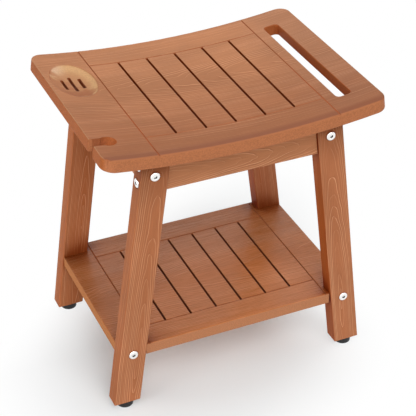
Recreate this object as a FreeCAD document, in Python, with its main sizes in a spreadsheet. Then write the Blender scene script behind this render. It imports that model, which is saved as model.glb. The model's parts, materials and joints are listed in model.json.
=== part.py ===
import FreeCAD, Part
import Sketcher
import math
import os

# Shower bench of plastic lumber: a bowed seat panel on four splayed legs, a frame of aprons and end rails
# under the seat, a notched shelf, knock-down bolts with barrel nuts, and four levelling feet.
# Frame: X along the seat, -Y towards the front, +Z up, origin on the floor under the middle. Millimetres.

SIZES = [
    # Seat panel, bowed about an axis along Y, so that its ends stand higher than its middle
    ("seat_length", 451.0),
    ("seat_depth", 350.0),
    ("seat_thickness", 20.0),
    ("seat_mid_height", 464.8),
    ("seat_bow_radius", 1530.0),
    ("seat_corner_radius", 20.0),
    ("seat_edge_radius", 2.0),
    ("seat_slot_count", 5),
    ("seat_slot_pitch", 48.0),
    ("seat_slot_length", 239.0),
    # Slots and vee grooves routed in both panels
    ("slot_width", 4.0),
    ("groove_depth", 1.3),
    # Handle slot at the right end of the seat
    ("handle_bar_width", 37.0),
    ("handle_slot_width", 25.0),
    ("handle_slot_length", 256.0),
    ("handle_slot_radius", 7.0),
    # Keyhole notch at the left end of the seat, which holds a hand shower
    ("notch_hole_diameter", 26.0),
    ("notch_slot_width", 21.0),
    ("notch_from_end", 25.0),
    ("notch_from_front", 57.0),
    # Soap dish at the left end of the seat, an oval bowl with three drain slots
    ("dish_width", 70.0),
    ("dish_length", 114.0),
    ("dish_depth", 8.0),
    ("dish_from_end", 41.0),
    ("dish_from_back", 99.0),
    ("drain_pitch", 14.0),
    ("drain_width", 4.0),
    ("drain_long", 46.0),
    ("drain_short", 31.0),
    # Legs, which lean in along X, are cut level at the foot and follow the seat's bow at the top
    ("leg_width", 43.5),
    ("leg_thickness", 27.0),
    ("leg_splay", 7.65),
    ("leg_edge_radius", 1.5),
    ("leg_end_setback", 5.25),
    ("leg_front_setback", 23.5),
    # Aprons between the legs along X and end rails between them along Y
    ("rail_thickness", 18.0),
    ("apron_height", 52.0),
    ("apron_setback", 5.0),
    ("rail_edge_radius", 1.5),
    ("rail_bolt_rise", 30.5),
    ("apron_bolt_spacing", 26.5),
    # Shelf, notched round the legs
    ("shelf_top", 115.0),
    ("shelf_thickness", 20.0),
    ("shelf_front_setback", 4.5),
    ("shelf_back_setback", 1.0),
    ("shelf_end_setback", 1.0),
    ("shelf_edge_radius", 1.5),
    ("shelf_slot_count", 6),
    ("shelf_slot_pitch", 44.5),
    ("shelf_slot_length", 206.0),
    # Connector bolts with wide bevelled heads
    ("bolt_diameter", 6.0),
    ("bolt_point", 1.0),
    ("bolt_head_diameter", 15.0),
    ("bolt_head_height", 2.6),
    ("bolt_head_bevel", 1.2),
    ("bolt_socket", 5.0),
    ("bolt_socket_depth", 2.0),
    ("apron_bolt_length", 70.0),
    ("leg_bolt_length", 55.0),
    ("spot_face_diameter", 17.0),
    ("spot_face_depth", 1.3),
    # Barrel nuts
    ("nut_diameter", 10.0),
    ("nut_length", 12.0),
    ("nut_from_end", 20.0),
    ("nut_slot_width", 1.2),
    ("nut_slot_depth", 1.5),
    # Screws that hold the seat down on the end rails
    ("screw_diameter", 5.0),
    ("screw_head_diameter", 9.5),
    ("screw_head_height", 3.5),
    ("screw_length", 60.0),
    ("screw_bite", 12.0),
    ("screw_socket", 3.0),
    ("screw_socket_depth", 2.0),
    ("screw_spacing", 130.0),
    # Levelling feet: rubber pads moulded on threaded studs, in inserts in the legs' ends
    ("foot_height", 11.0),
    ("foot_diameter", 27.0),
    ("foot_edge_radius", 1.5),
    ("foot_floor", 4.0),
    ("stud_diameter", 8.0),
    ("stud_length", 30.0),
    ("stud_point", 1.0),
    ("stud_head_diameter", 16.0),
    ("stud_head_height", 3.0),
    ("insert_diameter", 12.0),
    ("insert_length", 18.0),
    # Clearances
    ("seat_bedding", 0.2),
    ("board_gap", 0.1),
    ("notch_gap", 0.5),
    ("hole_clearance", 0.25),
    ("running_clearance", 0.05),
    ("end_clearance", 2.0),
]

# Places and sizes that several pieces share, worked out from the sizes
FITS = [
    ("bow_centre", "Sizes.seat_mid_height + Sizes.seat_bow_radius"),
    ("under_radius", "Sizes.seat_bow_radius + Sizes.seat_thickness"),
    ("bedding_radius", "under_radius + Sizes.seat_bedding"),
    ("slot_row_arc", "Sizes.seat_slot_pitch * (Sizes.seat_slot_count - 1) / 2"),
    ("slot_row_turn", "slot_row_arc / Sizes.seat_bow_radius * 180 / pi"),
    ("slot_row_x", "Sizes.seat_bow_radius * sin(slot_row_turn * 1 deg)"),
    ("seat_groove_x", "Sizes.seat_slot_pitch * (Sizes.seat_slot_count + 1) / 2"),
    ("shelf_groove_x", "Sizes.shelf_slot_pitch * (Sizes.shelf_slot_count + 1) / 2"),
    ("leg_lean", "tan(Sizes.leg_splay * 1 deg)"),
    ("leg_level_width", "Sizes.leg_width / cos(Sizes.leg_splay * 1 deg)"),
    ("leg_foot_out", "Sizes.seat_length / 2 - Sizes.leg_end_setback"),
    ("leg_foot_in", "leg_foot_out - leg_level_width"),
    ("leg_front_y", "Sizes.seat_depth / 2 - Sizes.leg_front_setback"),
    ("leg_inner_y", "leg_front_y - Sizes.leg_thickness"),
    ("foot_x", "leg_foot_out - leg_level_width / 2"),
    ("foot_y", "leg_front_y - Sizes.leg_thickness / 2"),
    ("rail_bottom", "Sizes.seat_mid_height - Sizes.seat_thickness - Sizes.apron_height"),
    ("rail_bolt_z", "rail_bottom + Sizes.rail_bolt_rise"),
    ("rail_x", "foot_x - leg_lean * (rail_bolt_z - Sizes.foot_height)"),
    ("rail_inner_x", "rail_x - Sizes.rail_thickness / 2"),
    ("rail_top", "bow_centre - sqrt(bedding_radius^2 - rail_x^2)"),
    ("apron_front_y", "leg_front_y - Sizes.apron_setback"),
    ("apron_back_y", "apron_front_y - Sizes.rail_thickness"),
    ("apron_mid_y", "apron_front_y - Sizes.rail_thickness / 2"),
    ("apron_foot_x", "leg_foot_in - leg_lean * (rail_bottom - Sizes.foot_height) - Sizes.board_gap"),
    ("low_bolt_z", "rail_bolt_z - Sizes.apron_bolt_spacing / 2"),
    ("high_bolt_z", "rail_bolt_z + Sizes.apron_bolt_spacing / 2"),
    ("low_leg_x", "leg_foot_out - leg_lean * (low_bolt_z - Sizes.foot_height)"),
    ("high_leg_x", "leg_foot_out - leg_lean * (high_bolt_z - Sizes.foot_height)"),
    ("low_seat_x", "low_leg_x - Sizes.spot_face_depth"),
    ("high_seat_x", "high_leg_x - Sizes.spot_face_depth"),
    ("low_nut_x", "low_leg_x - leg_level_width - Sizes.nut_from_end"),
    ("high_nut_x", "high_leg_x - leg_level_width - Sizes.nut_from_end"),
    ("leg_nut_y", "leg_inner_y - Sizes.nut_from_end"),
    ("leg_bolt_end_y", "leg_front_y - Sizes.leg_bolt_length - Sizes.end_clearance"),
    ("apron_bolt_end_x", "high_seat_x - Sizes.apron_bolt_length - Sizes.end_clearance"),
    ("shelf_bottom", "Sizes.shelf_top - Sizes.shelf_thickness"),
    ("shelf_bolt_z", "Sizes.shelf_top - Sizes.shelf_thickness / 2"),
    ("shelf_bolt_x", "foot_x - leg_lean * (shelf_bolt_z - Sizes.foot_height)"),
    ("shelf_leg_x", "leg_foot_out - leg_lean * (Sizes.shelf_top - Sizes.foot_height)"),
    ("screw_seat_z", "rail_top + Sizes.screw_bite - Sizes.screw_length"),
    ("bolt_hole", "Sizes.bolt_diameter + 2 * Sizes.hole_clearance"),
    ("nut_hole", "Sizes.nut_diameter + 2 * Sizes.running_clearance"),
]

# Signs of X and Y at the four corners
CORNERS = {"front_left": (-1, -1), "front_right": (1, -1), "back_left": (-1, 1), "back_right": (1, 1)}

LEFT = FreeCAD.Vector(-1, 0, 0)
RIGHT = FreeCAD.Vector(1, 0, 0)
FRONT = FreeCAD.Vector(0, -1, 0)
BACK = FreeCAD.Vector(0, 1, 0)
DOWN = FreeCAD.Vector(0, 0, -1)

doc = FreeCAD.newDocument("shower_bench")


def fill_sheet(name, rows):
    """A sheet with one named cell to a row."""
    sheet = doc.addObject("Spreadsheet::Sheet", name)
    for number, (alias, content) in enumerate(rows, 1):
        sheet.set(f"A{number}", alias)
        sheet.set(f"B{number}", str(content))
        sheet.setAlias(f"B{number}", alias)
    doc.recompute()
    return sheet


sizes = fill_sheet("Sizes", SIZES)
fits = fill_sheet("Fits", [(alias, "=" + formula) for alias, formula in FITS])


def value(expression):
    """What an expression on the sheets comes to, in millimetres or degrees."""
    return float(sizes.evalExpression(expression))


# Bodies and sketches


def new_body(label, turned=False):
    """A body at the origin, or turned half round the upright axis to the other side of the bench."""
    body = doc.addObject("PartDesign::Body", label)
    body.Label = label
    if turned:
        body.Placement = FreeCAD.Placement(FreeCAD.Vector(), FreeCAD.Rotation(FreeCAD.Vector(0, 0, 1), 180))
    return body


def place(body, x, y, z, rotation=None):
    """Turn a body, then tie its position to expressions on the sheets."""
    if rotation is not None:
        body.Placement = FreeCAD.Placement(FreeCAD.Vector(), rotation)
    for axis, expression in zip("xyz", (x, y, z)):
        body.setExpression(f"Placement.Base.{axis}", expression)


def facing(upward, sideways):
    """The rotation that points a body's Z and X axes in these directions."""
    return FreeCAD.Rotation(sideways, FreeCAD.Vector(), upward, "ZXY")


def origin_plane(body, role):
    return [item for item in body.Origin.OriginFeatures if item.Role == role][0]


def new_sketch(body, role, offset="0"):
    """A sketch on an origin plane of its body, moved along the plane's normal."""
    sketch = body.newObject("Sketcher::SketchObject", "Sketch")
    sketch.AttachmentSupport = (origin_plane(body, role), [""])
    sketch.MapMode = "FlatFace"
    sketch.setExpression("AttachmentOffset.Base.z", offset)
    return sketch


def bowed_sketch(body, x):
    """A sketch that touches the seat's top at x, off the middle, and is square to the board there."""
    axis = BACK if value(x) < 0 else FRONT
    sketch = new_sketch(body, "XY_Plane")
    lean_on_bow(sketch, axis, x, "Sizes.seat_bow_radius")
    return sketch


def lean_on_bow(feature, axis, x, radius):
    """Lean an attached feature over at x, so that it stands square on an arc about the bow axis."""
    tilt = f"asin(abs({x}) / Sizes.seat_bow_radius)"
    feature.AttachmentOffset = FreeCAD.Placement(FreeCAD.Vector(), FreeCAD.Rotation(axis, value(tilt)))
    feature.setExpression("AttachmentOffset.Rotation.Angle", tilt)
    feature.setExpression("AttachmentOffset.Base.x", f"{x} * {radius} / Sizes.seat_bow_radius")
    feature.setExpression("AttachmentOffset.Base.z", f"Fits.bow_centre - {radius} * cos({tilt})")


def fix(sketch, kind, arguments, expression):
    """A dimension of a sketch, tied to an expression."""
    start = sketch.evalExpression(expression)
    index = sketch.addConstraint(Sketcher.Constraint(kind, *arguments, start))
    sketch.setExpression(f"Constraints[{index}]", expression)


def fix_point(sketch, geometry, point, x, y):
    fix(sketch, "DistanceX", (-1, 1, geometry, point), x)
    fix(sketch, "DistanceY", (-1, 1, geometry, point), y)


def join(sketch, *pairs):
    for pair in pairs:
        sketch.addConstraint(Sketcher.Constraint("Coincident", *pair))


def draw_outline(sketch, corners):
    """A closed outline of straight lines through corners, each a pair of expressions."""
    points = [FreeCAD.Vector(value(x), value(y), 0) for x, y in corners]
    first = sketch.GeometryCount
    for start, end in zip(points, points[1:] + points[:1]):
        sketch.addGeometry(Part.LineSegment(start, end))
    for number, (x, y) in enumerate(corners):
        join(sketch, (first + number, 2, first + (number + 1) % len(corners), 1))
        fix_point(sketch, first + number, 1, x, y)


def draw_rectangle(sketch, x_near, x_far, y_near, y_far):
    draw_outline(sketch, [(x_near, y_near), (x_far, y_near), (x_far, y_far), (x_near, y_far)])


def draw_hexagon(sketch, across_flats):
    corner = f"{across_flats} / sqrt(3)"
    turns = range(0, 360, 60)
    draw_outline(sketch, [(f"{corner} * cos({turn} deg)", f"{corner} * sin({turn} deg)") for turn in turns])


def draw_circle(sketch, x, y, diameter):
    centre = FreeCAD.Vector(value(x), value(y), 0)
    circle = sketch.addGeometry(Part.Circle(centre, FreeCAD.Vector(0, 0, 1), value(diameter) / 2))
    fix_point(sketch, circle, 3, x, y)
    fix(sketch, "Diameter", (circle,), diameter)


def draw_slot(sketch, x, y, width, length):
    """A slot with round ends, along the sketch's second axis and centred on x, y."""
    middle = FreeCAD.Vector(value(x), value(y), 0)
    side = FreeCAD.Vector(value(width) / 2, 0, 0)
    tip = FreeCAD.Vector(0, value(width) / 2, 0)
    upper = middle + FreeCAD.Vector(0, value(length) / 2, 0) - tip
    lower = middle * 2 - upper
    first = sketch.GeometryCount
    sketch.addGeometry(Part.LineSegment(lower + side, upper + side))
    sketch.addGeometry(Part.Arc(upper + side, upper + tip, upper - side))
    sketch.addGeometry(Part.LineSegment(upper - side, lower - side))
    sketch.addGeometry(Part.Arc(lower - side, lower - tip, lower + side))
    for number in range(4):
        sketch.addConstraint(Sketcher.Constraint("Tangent", first + number, 2, first + (number + 1) % 4, 1))
    sketch.addConstraint(Sketcher.Constraint("Equal", first + 1, first + 3))
    fix_point(sketch, first + 1, 3, x, f"{y} + ({length} - {width}) / 2")
    fix_point(sketch, first + 3, 3, x, f"{y} - ({length} - {width}) / 2")
    fix(sketch, "Radius", (first + 1,), f"{width} / 2")


def draw_vee(sketch, x, surface):
    """The square-angled section of a vee groove, whose mouth opens clear above the surface."""
    wing = "2 * Sizes.groove_depth"
    mouth = f"{surface} + Sizes.groove_depth"
    root = f"{surface} - Sizes.groove_depth"
    draw_outline(sketch, [(x, root), (f"{x} + {wing}", mouth), (f"{x} - {wing}", mouth)])


def draw_bow(sketch, radius, start, end):
    """An arc about the seat's bow axis, from the left to the right."""
    centre = FreeCAD.Vector(0, value("Fits.bow_centre"), 0)
    crown = centre + ((start + end) * 0.5 - centre).normalize() * value(radius)
    arc = sketch.addGeometry(Part.Arc(start, crown, end))
    sketch.addConstraint(Sketcher.Constraint("PointOnObject", arc, 3, -2))
    fix(sketch, "DistanceY", (-1, 1, arc, 3), "Fits.bow_centre")
    fix(sketch, "Radius", (arc,), radius)
    return arc


def rise_to_bow(x, z, slant, radius):
    """Where a line that rises from a point at a slant first meets an arc about the bow axis."""
    along = FreeCAD.Vector(math.cos(math.radians(slant)), math.sin(math.radians(slant)), 0)
    low = FreeCAD.Vector(x, z, 0)
    from_axis = low - FreeCAD.Vector(0, value("Fits.bow_centre"), 0)
    reach = from_axis.dot(along)
    return low + along * (-reach - math.sqrt(reach**2 - from_axis.dot(from_axis) + value(radius) ** 2))


def draw_bedded_board(sketch, x_left, x_right, z_low, left_slant="90 deg", right_slant="90 deg"):
    """A board's outline: a level foot, two sides at a slant, and a top that beds on the seat's underside."""
    radius = "Fits.bedding_radius"
    foot_left = FreeCAD.Vector(value(x_left), value(z_low), 0)
    foot_right = FreeCAD.Vector(value(x_right), value(z_low), 0)
    top_left = rise_to_bow(foot_left.x, foot_left.y, value(left_slant), radius)
    top_right = rise_to_bow(foot_right.x, foot_right.y, value(right_slant), radius)
    foot = sketch.addGeometry(Part.LineSegment(foot_left, foot_right))
    left = sketch.addGeometry(Part.LineSegment(foot_left, top_left))
    right = sketch.addGeometry(Part.LineSegment(foot_right, top_right))
    top = draw_bow(sketch, radius, top_left, top_right)
    join(sketch, (foot, 1, left, 1), (foot, 2, right, 1), (left, 2, top, 1), (right, 2, top, 2))
    fix_point(sketch, foot, 1, x_left, z_low)
    fix_point(sketch, foot, 2, x_right, z_low)
    fix(sketch, "Angle", (left,), left_slant)
    fix(sketch, "Angle", (right,), right_slant)


# Features


def check_change(body, feature, before, grows):
    """A feature has to change its body's volume, and in the right direction."""
    change = body.Shape.Volume - before
    if abs(change) < 1e-3 or (change > 0) != grows:
        raise RuntimeError(f"{body.Label}: {feature.Name} changes the volume by {change}")


def add_feature(body, kind, sketch, bound, **settings):
    """A feature drawn by a sketch, with some properties tied to expressions and others set."""
    before = body.Shape.Volume if body.Tip else 0.0
    feature = body.newObject("PartDesign::" + kind, kind)
    feature.Profile = sketch
    for name, setting in settings.items():
        setattr(feature, name, setting)
    for name, expression in bound.items():
        feature.setExpression(name, expression)
    body.Tip = feature
    doc.recompute()
    check_change(body, feature, before, kind in ("Pad", "Revolution"))
    return feature


def pad(body, sketch, length, **settings):
    return add_feature(body, "Pad", sketch, {"Length": length}, **settings)


def cut_to(body, sketch, depth, **settings):
    return add_feature(body, "Pocket", sketch, {"Length": depth}, **settings)


def cut_through(body, sketch, **settings):
    return add_feature(body, "Pocket", sketch, {}, Type="ThroughAll", **settings)


def mirror(body, feature, role):
    """Repeat a cut on the other side of an origin plane."""
    before = body.Shape.Volume
    mirrored = body.newObject("PartDesign::Mirrored", "Mirrored")
    mirrored.Originals = [feature]
    mirrored.MirrorPlane = (origin_plane(body, role), [""])
    body.Tip = mirrored
    doc.recompute()
    check_change(body, mirrored, before, False)


def round_edges(body, radius, wanted):
    """Round the edges of the body so far that a test picks."""
    base = body.Tip
    before = body.Shape.Volume
    names = [f"Edge{number}" for number, edge in enumerate(base.Shape.Edges, 1) if wanted(edge)]
    fillet = body.newObject("PartDesign::Fillet", "Fillet")
    fillet.Base = (base, names)
    fillet.setExpression("Radius", radius)
    body.Tip = fillet
    doc.recompute()
    if abs(body.Shape.Volume - before) < 1e-3:
        raise RuntimeError(f"{body.Label}: no edge is rounded")


def repeat_round(body, feature, axis, turn, count):
    """Repeat a cut about an axis, over a turn from the first to the last."""
    before = body.Shape.Volume
    row = body.newObject("PartDesign::PolarPattern", "PolarPattern")
    row.Originals = [feature]
    row.Axis = axis
    row.Reversed = True
    row.setExpression("Angle", turn)
    row.setExpression("Occurrences", count)
    body.Tip = row
    doc.recompute()
    check_change(body, row, before, False)


def runs_along(edge, axis):
    """Whether a straight edge points mostly along an axis, 0 for X to 2 for Z."""
    return isinstance(edge.Curve, Part.Line) and abs(edge.tangentAt(edge.FirstParameter)[axis]) > 0.9


def middle_of(edge):
    return edge.valueAt((edge.FirstParameter + edge.LastParameter) / 2)


# Seat panel: one bowed board, routed from above


def build_seat():
    body = new_body("seat_panel")
    sketch = new_sketch(body, "XZ_Plane")
    draw_seat_section(sketch)
    pad(body, sketch, "Sizes.seat_depth", SideType="Symmetric")
    round_edges(body, "Sizes.seat_corner_radius", lambda edge: runs_along(edge, 2))
    cut_handle_slot(body)
    rims = bowed_face_rims(body.Tip.Shape)
    round_edges(body, "Sizes.seat_edge_radius", lambda edge: any(edge.isSame(rim) for rim in rims))
    axis = bow_axis(body)
    cut_seat_grooves(body, axis)
    cut_seat_slots(body, axis)
    cut_keyhole_notch(body)
    cut_soap_dish(body)
    cut_screw_pilots(body)
    return body


def draw_seat_section(sketch):
    """Two arcs about one axis, joined by ends that are square to the board."""
    half = value("Sizes.seat_length") / 2
    bow, centre = value("Sizes.seat_bow_radius"), value("Fits.bow_centre")
    arcs = []
    for radius in ("Sizes.seat_bow_radius", "Fits.under_radius"):
        out, drop = half * value(radius) / bow, math.sqrt(bow**2 - half**2) * value(radius) / bow
        ends = FreeCAD.Vector(-out, centre - drop, 0), FreeCAD.Vector(out, centre - drop, 0)
        arcs.append((draw_bow(sketch, radius, *ends), ends))
    (top, top_ends), (under, under_ends) = arcs
    for point, side in ((1, "-1"), (2, "1")):
        end = sketch.addGeometry(Part.LineSegment(top_ends[point - 1], under_ends[point - 1]))
        join(sketch, (top, point, end, 1), (under, point, end, 2))
        sketch.addConstraint(Sketcher.Constraint("PointOnObject", top, 3, end))
        fix(sketch, "DistanceX", (-1, 1, end, 1), f"{side} * Sizes.seat_length / 2")


def bowed_face_rims(shape):
    """The edges of the seat's top and underside, round its outside and round any hole in it."""
    radii = value("Sizes.seat_bow_radius"), value("Fits.under_radius")
    rims = []
    for face in shape.Faces:
        if isinstance(face.Surface, Part.Cylinder) and any(abs(face.Surface.Radius - r) < 1e-6 for r in radii):
            rims += face.Edges
    return rims


def bow_axis(body):
    """The axis that the seat is bowed about, a line in a sketch of its own."""
    sketch = new_sketch(body, "YZ_Plane")
    start = FreeCAD.Vector(0, value("Fits.bow_centre"), 0)
    end = FreeCAD.Vector(value("Sizes.seat_depth"), start.y, 0)
    line = sketch.addGeometry(Part.LineSegment(start, end))
    fix_point(sketch, line, 1, "0", "Fits.bow_centre")
    fix_point(sketch, line, 2, "Sizes.seat_depth", "Fits.bow_centre")
    return sketch, ["Edge1"]


def cut_seat_grooves(body, axis):
    """Vee grooves: two straight across the seat, and two between those that follow the bow."""
    surface = "(Fits.bow_centre - sqrt(Sizes.seat_bow_radius^2 - Fits.seat_groove_x^2))"
    sketch = new_sketch(body, "XZ_Plane")
    for side in ("-1", "1"):
        draw_vee(sketch, f"{side} * Fits.seat_groove_x", surface)
    cut_through(body, sketch, SideType="Symmetric")
    turn = "2 * asin(Fits.seat_groove_x / Sizes.seat_bow_radius)"
    for side in ("-1", "1"):
        sketch = new_sketch(body, "YZ_Plane")
        draw_vee(sketch, f"{side} * Sizes.seat_slot_length / 2", "Sizes.seat_mid_height")
        add_feature(body, "Groove", sketch, {"Angle": turn}, Midplane=True, ReferenceAxis=axis)


def cut_seat_slots(body, axis):
    """Drain slots, the leftmost cut square to the board and repeated round the bow."""
    sketch = bowed_sketch(body, "-1 * Fits.slot_row_x")
    draw_slot(sketch, "0", "0", "Sizes.slot_width", "Sizes.seat_slot_length")
    slot = cut_through(body, sketch, SideType="Symmetric")
    repeat_round(body, slot, axis, "2 * Fits.slot_row_turn", "Sizes.seat_slot_count")


def cut_handle_slot(body):
    x_side, y_end = "Sizes.handle_slot_width / 2", "Sizes.handle_slot_length / 2"
    sketch = bowed_sketch(body, f"(Sizes.seat_length / 2 - Sizes.handle_bar_width - {x_side})")
    draw_rectangle(sketch, f"-1 * {x_side}", x_side, f"-1 * {y_end}", y_end)
    cut_through(body, sketch, SideType="Symmetric")

    def at_slot_corner(edge):
        return runs_along(edge, 2) and abs(abs(middle_of(edge).y) - value(y_end)) < 1e-3

    round_edges(body, "Sizes.handle_slot_radius", at_slot_corner)


def cut_keyhole_notch(body):
    x = "(Sizes.notch_from_end - Sizes.seat_length / 2)"
    y = "(Sizes.notch_from_front - Sizes.seat_depth / 2)"
    half = "Sizes.notch_slot_width / 2"
    sketch = bowed_sketch(body, x)
    draw_rectangle(sketch, "0", "-2 * Sizes.notch_from_end", f"{y} - {half}", f"{y} + {half}")
    cut_through(body, sketch, SideType="Symmetric")
    sketch = bowed_sketch(body, x)
    draw_circle(sketch, "0", y, "Sizes.notch_hole_diameter")
    cut_through(body, sketch, SideType="Symmetric")


def cut_soap_dish(body):
    """An oval bowl square to the bowed top, part of an ellipsoid centred half the bowl's depth above it."""
    x = "(Sizes.dish_from_end - Sizes.seat_length / 2)"
    y = "(Sizes.seat_depth / 2 - Sizes.dish_from_back)"
    spread = "1.5 / sqrt(1.5^2 - 0.5^2) / 2"
    before = body.Shape.Volume
    bowl = body.newObject("PartDesign::SubtractiveEllipsoid", "SoapDish")
    bowl.AttachmentSupport = (origin_plane(body, "XY_Plane"), [""])
    bowl.MapMode = "FlatFace"
    lean_on_bow(bowl, BACK, x, "(Sizes.seat_bow_radius - Sizes.dish_depth / 2)")
    bowl.setExpression("AttachmentOffset.Base.y", y)
    bowl.setExpression("Radius1", "1.5 * Sizes.dish_depth")
    bowl.setExpression("Radius2", f"Sizes.dish_width * {spread}")
    bowl.setExpression("Radius3", f"Sizes.dish_length * {spread}")
    body.Tip = bowl
    doc.recompute()
    check_change(body, bowl, before, False)
    sketch = bowed_sketch(body, x)
    for side, length in (("-1", "Sizes.drain_short"), ("0", "Sizes.drain_long"), ("1", "Sizes.drain_short")):
        draw_slot(sketch, f"{side} * Sizes.drain_pitch", y, "Sizes.drain_width", length)
    cut_through(body, sketch, SideType="Symmetric")


def cut_screw_pilots(body):
    """Blind holes in the underside, over the end rails."""
    sketch = new_sketch(body, "XY_Plane")
    for side_x, side_y in CORNERS.values():
        x, y = f"{side_x} * Fits.rail_x", f"{side_y} * Sizes.screw_spacing / 2"
        draw_circle(sketch, x, y, "Sizes.screw_diameter + 2 * Sizes.running_clearance")
    cut_to(body, sketch, "Fits.rail_top + Sizes.screw_bite + Sizes.end_clearance", Reversed=True)


# Shelf: one flat board, notched round the legs and bolted to them through its edges


def build_shelf():
    body = new_body("shelf_panel")
    end_x = "Fits.shelf_leg_x - Sizes.shelf_end_setback"
    front_y = "-1 * (Fits.leg_front_y - Sizes.shelf_front_setback)"
    back_y = "Fits.leg_front_y - Sizes.shelf_back_setback"
    sketch = new_sketch(body, "XY_Plane", "Fits.shelf_bottom")
    draw_rectangle(sketch, f"-1 * ({end_x})", end_x, front_y, back_y)
    pad(body, sketch, "Sizes.shelf_thickness")
    round_edges(body, "Sizes.shelf_edge_radius", lambda edge: not runs_along(edge, 2))
    cut_leg_notches(body)

    sketch = new_sketch(body, "XZ_Plane")
    for side in ("-1", "1"):
        draw_vee(sketch, f"{side} * Fits.shelf_groove_x", "Sizes.shelf_top")
    cut_through(body, sketch, SideType="Symmetric")
    sketch = new_sketch(body, "YZ_Plane")
    for side in ("-1", "1"):
        draw_vee(sketch, f"{side} * Sizes.shelf_slot_length / 2", "Sizes.shelf_top")
    cut_to(body, sketch, "2 * Fits.shelf_groove_x", SideType="Symmetric")
    sketch = new_sketch(body, "XY_Plane")
    for number in range(round(value("Sizes.shelf_slot_count"))):
        x = f"({number} - (Sizes.shelf_slot_count - 1) / 2) * Sizes.shelf_slot_pitch"
        draw_slot(sketch, x, "0", "Sizes.slot_width", "Sizes.shelf_slot_length")
    cut_through(body, sketch, Reversed=True)

    sketch = new_sketch(body, "XZ_Plane", "Fits.leg_bolt_end_y")
    for side in ("-1", "1"):
        draw_circle(sketch, f"{side} * Fits.shelf_bolt_x", "Fits.shelf_bolt_z", "Fits.bolt_hole")
    mirror(body, cut_through(body, sketch, Reversed=True), "XZ_Plane")
    sketch = new_sketch(body, "XY_Plane", "Fits.shelf_bottom")
    for side_x, side_y in CORNERS.values():
        draw_circle(sketch, f"{side_x} * Fits.shelf_bolt_x", f"{side_y} * Fits.leg_nut_y", "Fits.nut_hole")
    cut_to(body, sketch, "(Sizes.shelf_thickness + Sizes.nut_length) / 2", Reversed=True)
    return body


def cut_leg_notches(body):
    near_x = "(Fits.shelf_leg_x - Fits.leg_level_width - Sizes.notch_gap)"
    sketch = new_sketch(body, "XY_Plane")
    for x, y in CORNERS.values():
        x_walls = f"{x} * {near_x}", f"{x} * Sizes.seat_length"
        y_walls = f"{y} * Fits.leg_inner_y", f"{y} * Sizes.seat_depth"
        draw_rectangle(sketch, *x_walls, *y_walls)
    cut_through(body, sketch, Reversed=True)


# Legs


def build_leg(corner):
    """A leg drawn at the front, on the left or the right; a back leg is the one across from it, turned."""
    side_x, side_y = CORNERS[corner]
    turned = side_y > 0
    side = -side_x if turned else side_x
    body = new_body("leg_" + corner, turned)
    walls = sorted((f"{side} * Fits.leg_foot_in", f"{side} * Fits.leg_foot_out"), key=value)
    slant = f"90 deg + {side} * Sizes.leg_splay * 1 deg"
    sketch = new_sketch(body, "XZ_Plane", "Fits.leg_inner_y")
    draw_bedded_board(sketch, *walls, "Sizes.foot_height", slant, slant)
    pad(body, sketch, "Sizes.leg_thickness")
    round_edges(body, "Sizes.leg_edge_radius", lambda edge: runs_along(edge, 2))

    sketch = new_sketch(body, "XZ_Plane")
    draw_circle(sketch, f"{side} * Fits.rail_x", "Fits.rail_bolt_z", "Fits.bolt_hole")
    draw_circle(sketch, f"{side} * Fits.shelf_bolt_x", "Fits.shelf_bolt_z", "Fits.bolt_hole")
    cut_through(body, sketch, Reversed=True)
    outward = {"Reversed": side > 0}
    sketch = new_sketch(body, "YZ_Plane")
    for height in ("low", "high"):
        draw_circle(sketch, "-1 * Fits.apron_mid_y", f"Fits.{height}_bolt_z", "Fits.bolt_hole")
    cut_through(body, sketch, **outward)
    for height in ("low", "high"):
        sketch = new_sketch(body, "YZ_Plane", f"{side} * Fits.{height}_seat_x")
        draw_circle(sketch, "-1 * Fits.apron_mid_y", f"Fits.{height}_bolt_z", "Sizes.spot_face_diameter")
        cut_through(body, sketch, **outward)

    insert_hole = "Sizes.insert_diameter + 2 * Sizes.running_clearance", "Sizes.insert_length"
    stud_hole = "Sizes.stud_diameter + 2 * Sizes.hole_clearance", "Sizes.stud_length + Sizes.end_clearance"
    for diameter, depth in (insert_hole, stud_hole):
        sketch = new_sketch(body, "XY_Plane", "Sizes.foot_height")
        draw_circle(sketch, f"{side} * Fits.foot_x", "-1 * Fits.foot_y", diameter)
        cut_to(body, sketch, depth, Reversed=True)
    return body


# Rail frame under the seat


def build_apron(label, turned):
    """A board between two legs along X, drawn at the front."""
    body = new_body(label, turned)
    slants = "90 deg - Sizes.leg_splay * 1 deg", "90 deg + Sizes.leg_splay * 1 deg"
    sketch = new_sketch(body, "XZ_Plane", "Fits.apron_back_y")
    draw_bedded_board(sketch, "-1 * Fits.apron_foot_x", "Fits.apron_foot_x", "Fits.rail_bottom", *slants)
    pad(body, sketch, "Sizes.rail_thickness")
    round_edges(body, "Sizes.rail_edge_radius", lambda edge: runs_along(edge, 0))
    sketch = new_sketch(body, "YZ_Plane", "Fits.apron_bolt_end_x")
    for height in ("low", "high"):
        draw_circle(sketch, "-1 * Fits.apron_mid_y", f"Fits.{height}_bolt_z", "Fits.bolt_hole")
    mirror(body, cut_through(body, sketch, Reversed=True), "YZ_Plane")
    sketch = new_sketch(body, "XZ_Plane", "Fits.apron_back_y")
    for height in ("low", "high"):
        for side in ("-1", "1"):
            draw_circle(sketch, f"{side} * Fits.{height}_nut_x", f"Fits.{height}_bolt_z", "Fits.nut_hole")
    cut_to(body, sketch, "(Sizes.rail_thickness + Sizes.nut_length) / 2", Reversed=True)
    return body


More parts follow.
